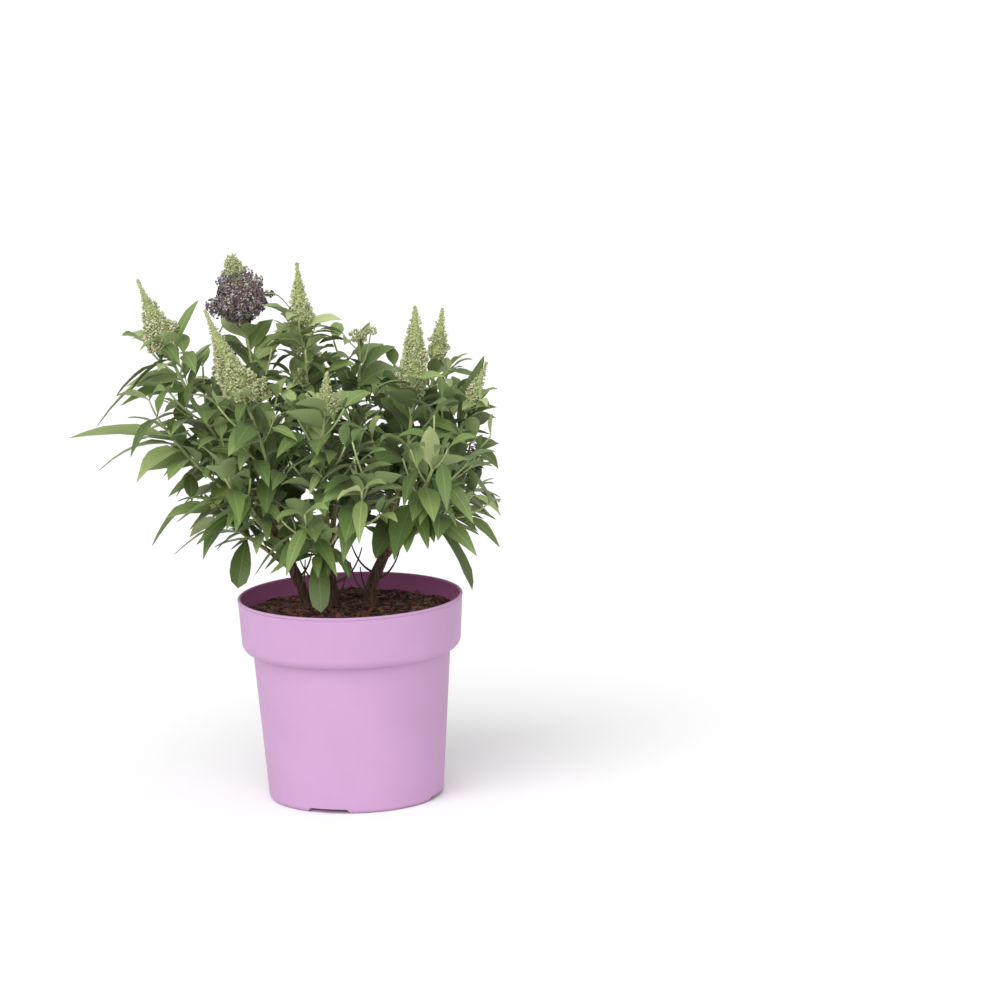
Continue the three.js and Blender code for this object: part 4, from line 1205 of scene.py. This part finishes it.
def pot_profile():
    """The wall as [radius, height]: flat underside, rounded heel, tapering body, convex shoulder under
    the band, band, beaded lip, and down the inside to the floor."""
    quarter = np.linspace(0, math.pi / 2, 9)
    heel = np.stack([POT["heel"] - POT["heel_round"] * (1 - np.sin(quarter)),
                     POT["heel_round"] * (1 - np.cos(quarter))], -1)
    body = np.linspace([POT["heel"], POT["heel_round"]], [POT["neck"], NECK - 1], 16)[1:]
    start = POT["neck"] + 0.4
    corner = np.stack([start + (POT["band_foot"] - start) * np.sin(quarter),
                       BAND_FOOT - POT["corner"] * np.cos(quarter)], -1)
    band_top = POT["height"] - POT["lip"]
    band = np.linspace([POT["band_foot"], BAND_FOOT], [POT["band_top"], band_top], 8)[1:]
    bead = np.linspace(-0.35 * math.pi, 1.0 * math.pi, 9)
    lip = (np.stack([np.cos(bead), np.sin(bead)], -1) * POT["bead"]
           + [POT["rim"] - POT["bead"], POT["height"] - POT["bead"]])
    inside = np.array([[POT["band_top"], band_top - 1], [POT["band_foot"], BAND_FOOT], [POT["neck"], NECK],
                       [POT["heel"], POT["floor"]]]) - [POT["wall"], 0]
    underside = [[0.5, 0], [DRAIN["circle"], 0]]
    floor = [[0.5, POT["floor"]]]
    return np.concatenate([underside, heel, body, corner, band, lip, inside, floor])


def make_pot():
    """The profile turned round the axis. Over each notch the heel's rings are pushed up, by the notch's
    height inside its width and nothing outside, with slanting ends."""
    profile = pot_profile()
    rows, sides = len(profile), 288
    radius, height = profile[:, :1], profile[:, 1:]
    spacing = 2 * math.pi / NOTCH["count"]
    off = (full_turn(sides) - math.radians(NOTCH["turn"]) + spacing / 2) % spacing - spacing / 2
    window = np.clip((NOTCH["width"] / 2 + 1.5 - np.abs(off) * POT["heel"]) / 3, 0, 1)
    heel_rows = (radius > POT["heel"] - NOTCH["depth"] - 2) & (height < NOTCH["height"] * 1.6)
    heel_rows[rows // 2:] = False  # the inside of the pot
    height = np.where(heel_rows, np.maximum(height, NOTCH["height"] * window), height)
    points, faces = capped(rings_of(sides, radius, height), (0, 0, 0), (0, 0, POT["floor"]))
    inner_rows = 7  # from the inner side of the lip down
    inside = np.repeat(np.arange(rows - 1) >= rows - 1 - inner_rows, sides)
    slots = np.concatenate([inside, inside, np.zeros(sides, bool), np.ones(sides, bool)])
    lilac = moulded_polypropylene("lilac", "BA93B9", "C098BF")
    # The inside's colour is painted light: a deeper, redder magenta that stands in for light bounced onto
    # the inner wall from the red-brown compost.
    painted_bounce = moulded_polypropylene("inside_with_painted_bounce_light", "BE6FA6", "C87CB0")
    piece = mesh_piece("nursery_pot", points, faces, [lilac, painted_bounce], slots)
    pierce_drain_holes(piece)
    piece.data.set_sharp_from_angle(angle=math.radians(50))
    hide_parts("pot")
    return [piece]


def pierce_drain_holes(pot):
    """Round holes through the floor, on one circle about the axis."""
    heap = Heap()
    for middle in rings_of(DRAIN["count"], DRAIN["circle"], 0.0):
        ends = middle + UP * np.array([[-2.0], [2.0 + POT["floor"]]])
        heap.add(*tube(ends, np.full(2, DRAIN["radius"]), 24))
    drill = heap.piece("drill")
    cut = pot.modifiers.new("drain_holes", "BOOLEAN")
    cut.operation = "DIFFERENCE"
    cut.solver = "EXACT"
    cut.object = drill
    pierced = bpy.data.meshes.new_from_object(pot.evaluated_get(bpy.context.evaluated_depsgraph_get()))
    pot.modifiers.clear()
    pot.data = pierced
    bpy.data.objects.remove(drill)


def soil_height(x, y):
    """The compost's top: level in the middle and falling a little to the wall, heaped unevenly."""
    radius = np.hypot(x, y) / POT["band_foot"]
    fall = np.clip((radius - 0.6) / 0.4, 0, 1)
    points = np.stack([x, y, np.zeros_like(x)], -1).reshape(-1, 3)
    heaps = rough(points, 22, 3.0).reshape(x.shape) * 2.0 + rough(points, 7, 5.0).reshape(x.shape) * 1.3
    return mix(SOIL["middle"], SOIL["edge"], fall) + heaps * np.clip(radius * 3, 0.3, 1)


def make_soil():
    """Compost: a polar grid with heaps and crumbs for its top, joined to a plain side and underside, and
    chips of composted bark lying on it at all angles."""
    rows, sides = 60, 200
    gap = 0.3
    inset = POT["wall"] + gap
    slope = (POT["band_top"] - POT["band_foot"]) / (POT["band"] - POT["lip"])
    edge = POT["band_foot"] + (SOIL["edge"] - BAND_FOOT) * slope - inset
    top = rings_of(sides, edge * np.linspace(0.004, 1, rows)[:, None], 0.0)
    top[..., 2] = soil_height(top[..., 0], top[..., 1])
    top[..., 2] += 0.8 * rough(top.reshape(-1, 3), 2.6, 1.0).reshape(rows, sides)
    low = POT["floor"] + gap
    side = np.array([[POT["band_foot"] - inset, BAND_FOOT - gap], [POT["neck"] - inset, NECK - gap],
                     [POT["heel"] - inset, low], [0.4, low]])
    rings = np.concatenate([top, rings_of(sides, side[:, :1], side[:, 1:])])
    points, faces = capped(rings, (0, 0, top[0, :, 2].mean()), (0, 0, low))
    soil = mesh_piece("compost", points, faces[:, ::-1], [moist_compost()], sharp=60)
    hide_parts("soil")
    return [soil] + make_chips(edge)


def make_chips(edge):
    """Bark chips: flattened, bent boxes of random length and width, in three browns."""
    kinds = {"dark": ("3D241A", 380), "red": ("6B3B29", 460), "tan": ("7C5643", 130)}
    corners = ((-1, -1), (1, -1), (0.8, 1), (-0.8, 1))
    box = np.array([[x, y, z] for x in (-1, -0.2, 0.8) for y, z in corners], float)
    quads = np.concatenate([grid_faces(3, 4), [[0, 3, 2, 1], [8, 9, 10, 11]]])
    faces = triangles(quads)[:, ::-1]
    pieces = []
    for name, (tint, count) in kinds.items():
        radius = edge * np.sqrt(rng.uniform(0, 0.96, count))
        turn = rng.uniform(0, 2 * math.pi, count)
        x, y = radius * np.cos(turn), radius * np.sin(turn)
        size = np.stack([1.5 + 5.5 * rng.random(count) ** 2, rng.uniform(0.5, 1.9, count),
                         rng.uniform(0.25, 0.8, count)], -1)
        made = box[None] * size[:, None] * (1 + 0.25 * rng.normal(size=(count, 12, 1)).clip(-1.5, 1.5))
        pitch, bank = rng.uniform(-0.5, 0.5, (2, count))
        spin = rng.uniform(0, 6.28, count)
        along = np.stack([np.cos(spin) * np.cos(pitch), np.sin(spin) * np.cos(pitch), np.sin(pitch)], -1)
        level = np.stack([-np.sin(spin), np.cos(spin), np.zeros(count)], -1)
        side = level * np.cos(bank)[:, None] + np.cross(along, level) * np.sin(bank)[:, None]
        axes = np.stack([along, side, np.cross(along, side)], 1)
        centre = np.stack([x, y, soil_height(x, y) + 0.7], -1)
        made = np.einsum("npj,njk->npk", made, axes) + centre[:, None]
        made = made[np.hypot(made[..., 0], made[..., 1]).max(axis=1) < edge + 0.5]
        piece = mesh_piece("bark_chips_" + name, made.reshape(-1, 3), repeated(faces, len(made)),
                           [plain_growth("chip_" + name, tint, 0.95)], sharp=35)
        pieces.append(piece)
    return pieces


# ------------------------------------------------------------------ stage, light and camera

def make_stage():
    """A white floor that runs out of sight, a white sky and two broad soft lights."""
    corners = np.array([[-1, -1, 0], [1, -1, 0], [1, 1, 0], [-1, 1, 0]]) * 60 / MM
    white, _, _ = plain_material("matt_white_floor", "F4F4F4", 0.9)
    floor = mesh_piece("studio_floor", corners, [[0, 1, 2, 3]], [white])
    world = bpy.data.worlds.new("white_studio")
    world.use_nodes = True
    background = world.node_tree.nodes["Background"]
    background.inputs["Color"].default_value = (1, 1, 1, 1)
    background.inputs["Strength"].default_value = 0.7
    bpy.context.scene.world = world
    lights = (("key_light", 2.2, 60, (48, 0, -25)), ("fill_light", 0.3, 80, (60, 0, 45)))
    for name, energy, spread, turn in lights:
        light = bpy.data.lights.new(name, "SUN")
        light.energy = energy
        light.angle = math.radians(spread)
        add_object(name, light).rotation_euler = [math.radians(angle) for angle in turn]


def make_camera():
    """A long lens, eleven degrees above the level, tipped a little to one side."""
    elevation, roll, distance = math.radians(10.92), math.radians(1.65), 4.2
    data = bpy.data.cameras.new("camera")
    data.lens = 180
    data.sensor_width = 36
    data.clip_end = 200
    camera = add_object("camera", data)
    back = Vector((0, -math.cos(elevation), math.sin(elevation)))
    camera.location = Vector((0.12866, 0, 0.24923)) + back * distance
    turn = (-back).to_track_quat("-Z", "Y").to_matrix() @ Euler((0, 0, -roll)).to_matrix()
    camera.rotation_euler = turn.to_euler()
    bpy.context.scene.camera = camera


pieces = (make_pot() + make_soil() + make_woody_stems() + make_bare_twigs() + make_boughs()
          + make_shoots() + make_spikes())
leaf_pieces = make_leaves()
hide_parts(*["leaves_" + shoot.name for shoot in shoots])
for piece in pieces + leaf_pieces:
    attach(piece, "root")
make_stage()
make_camera()
bpy.context.scene.view_settings.view_transform = "Standard"
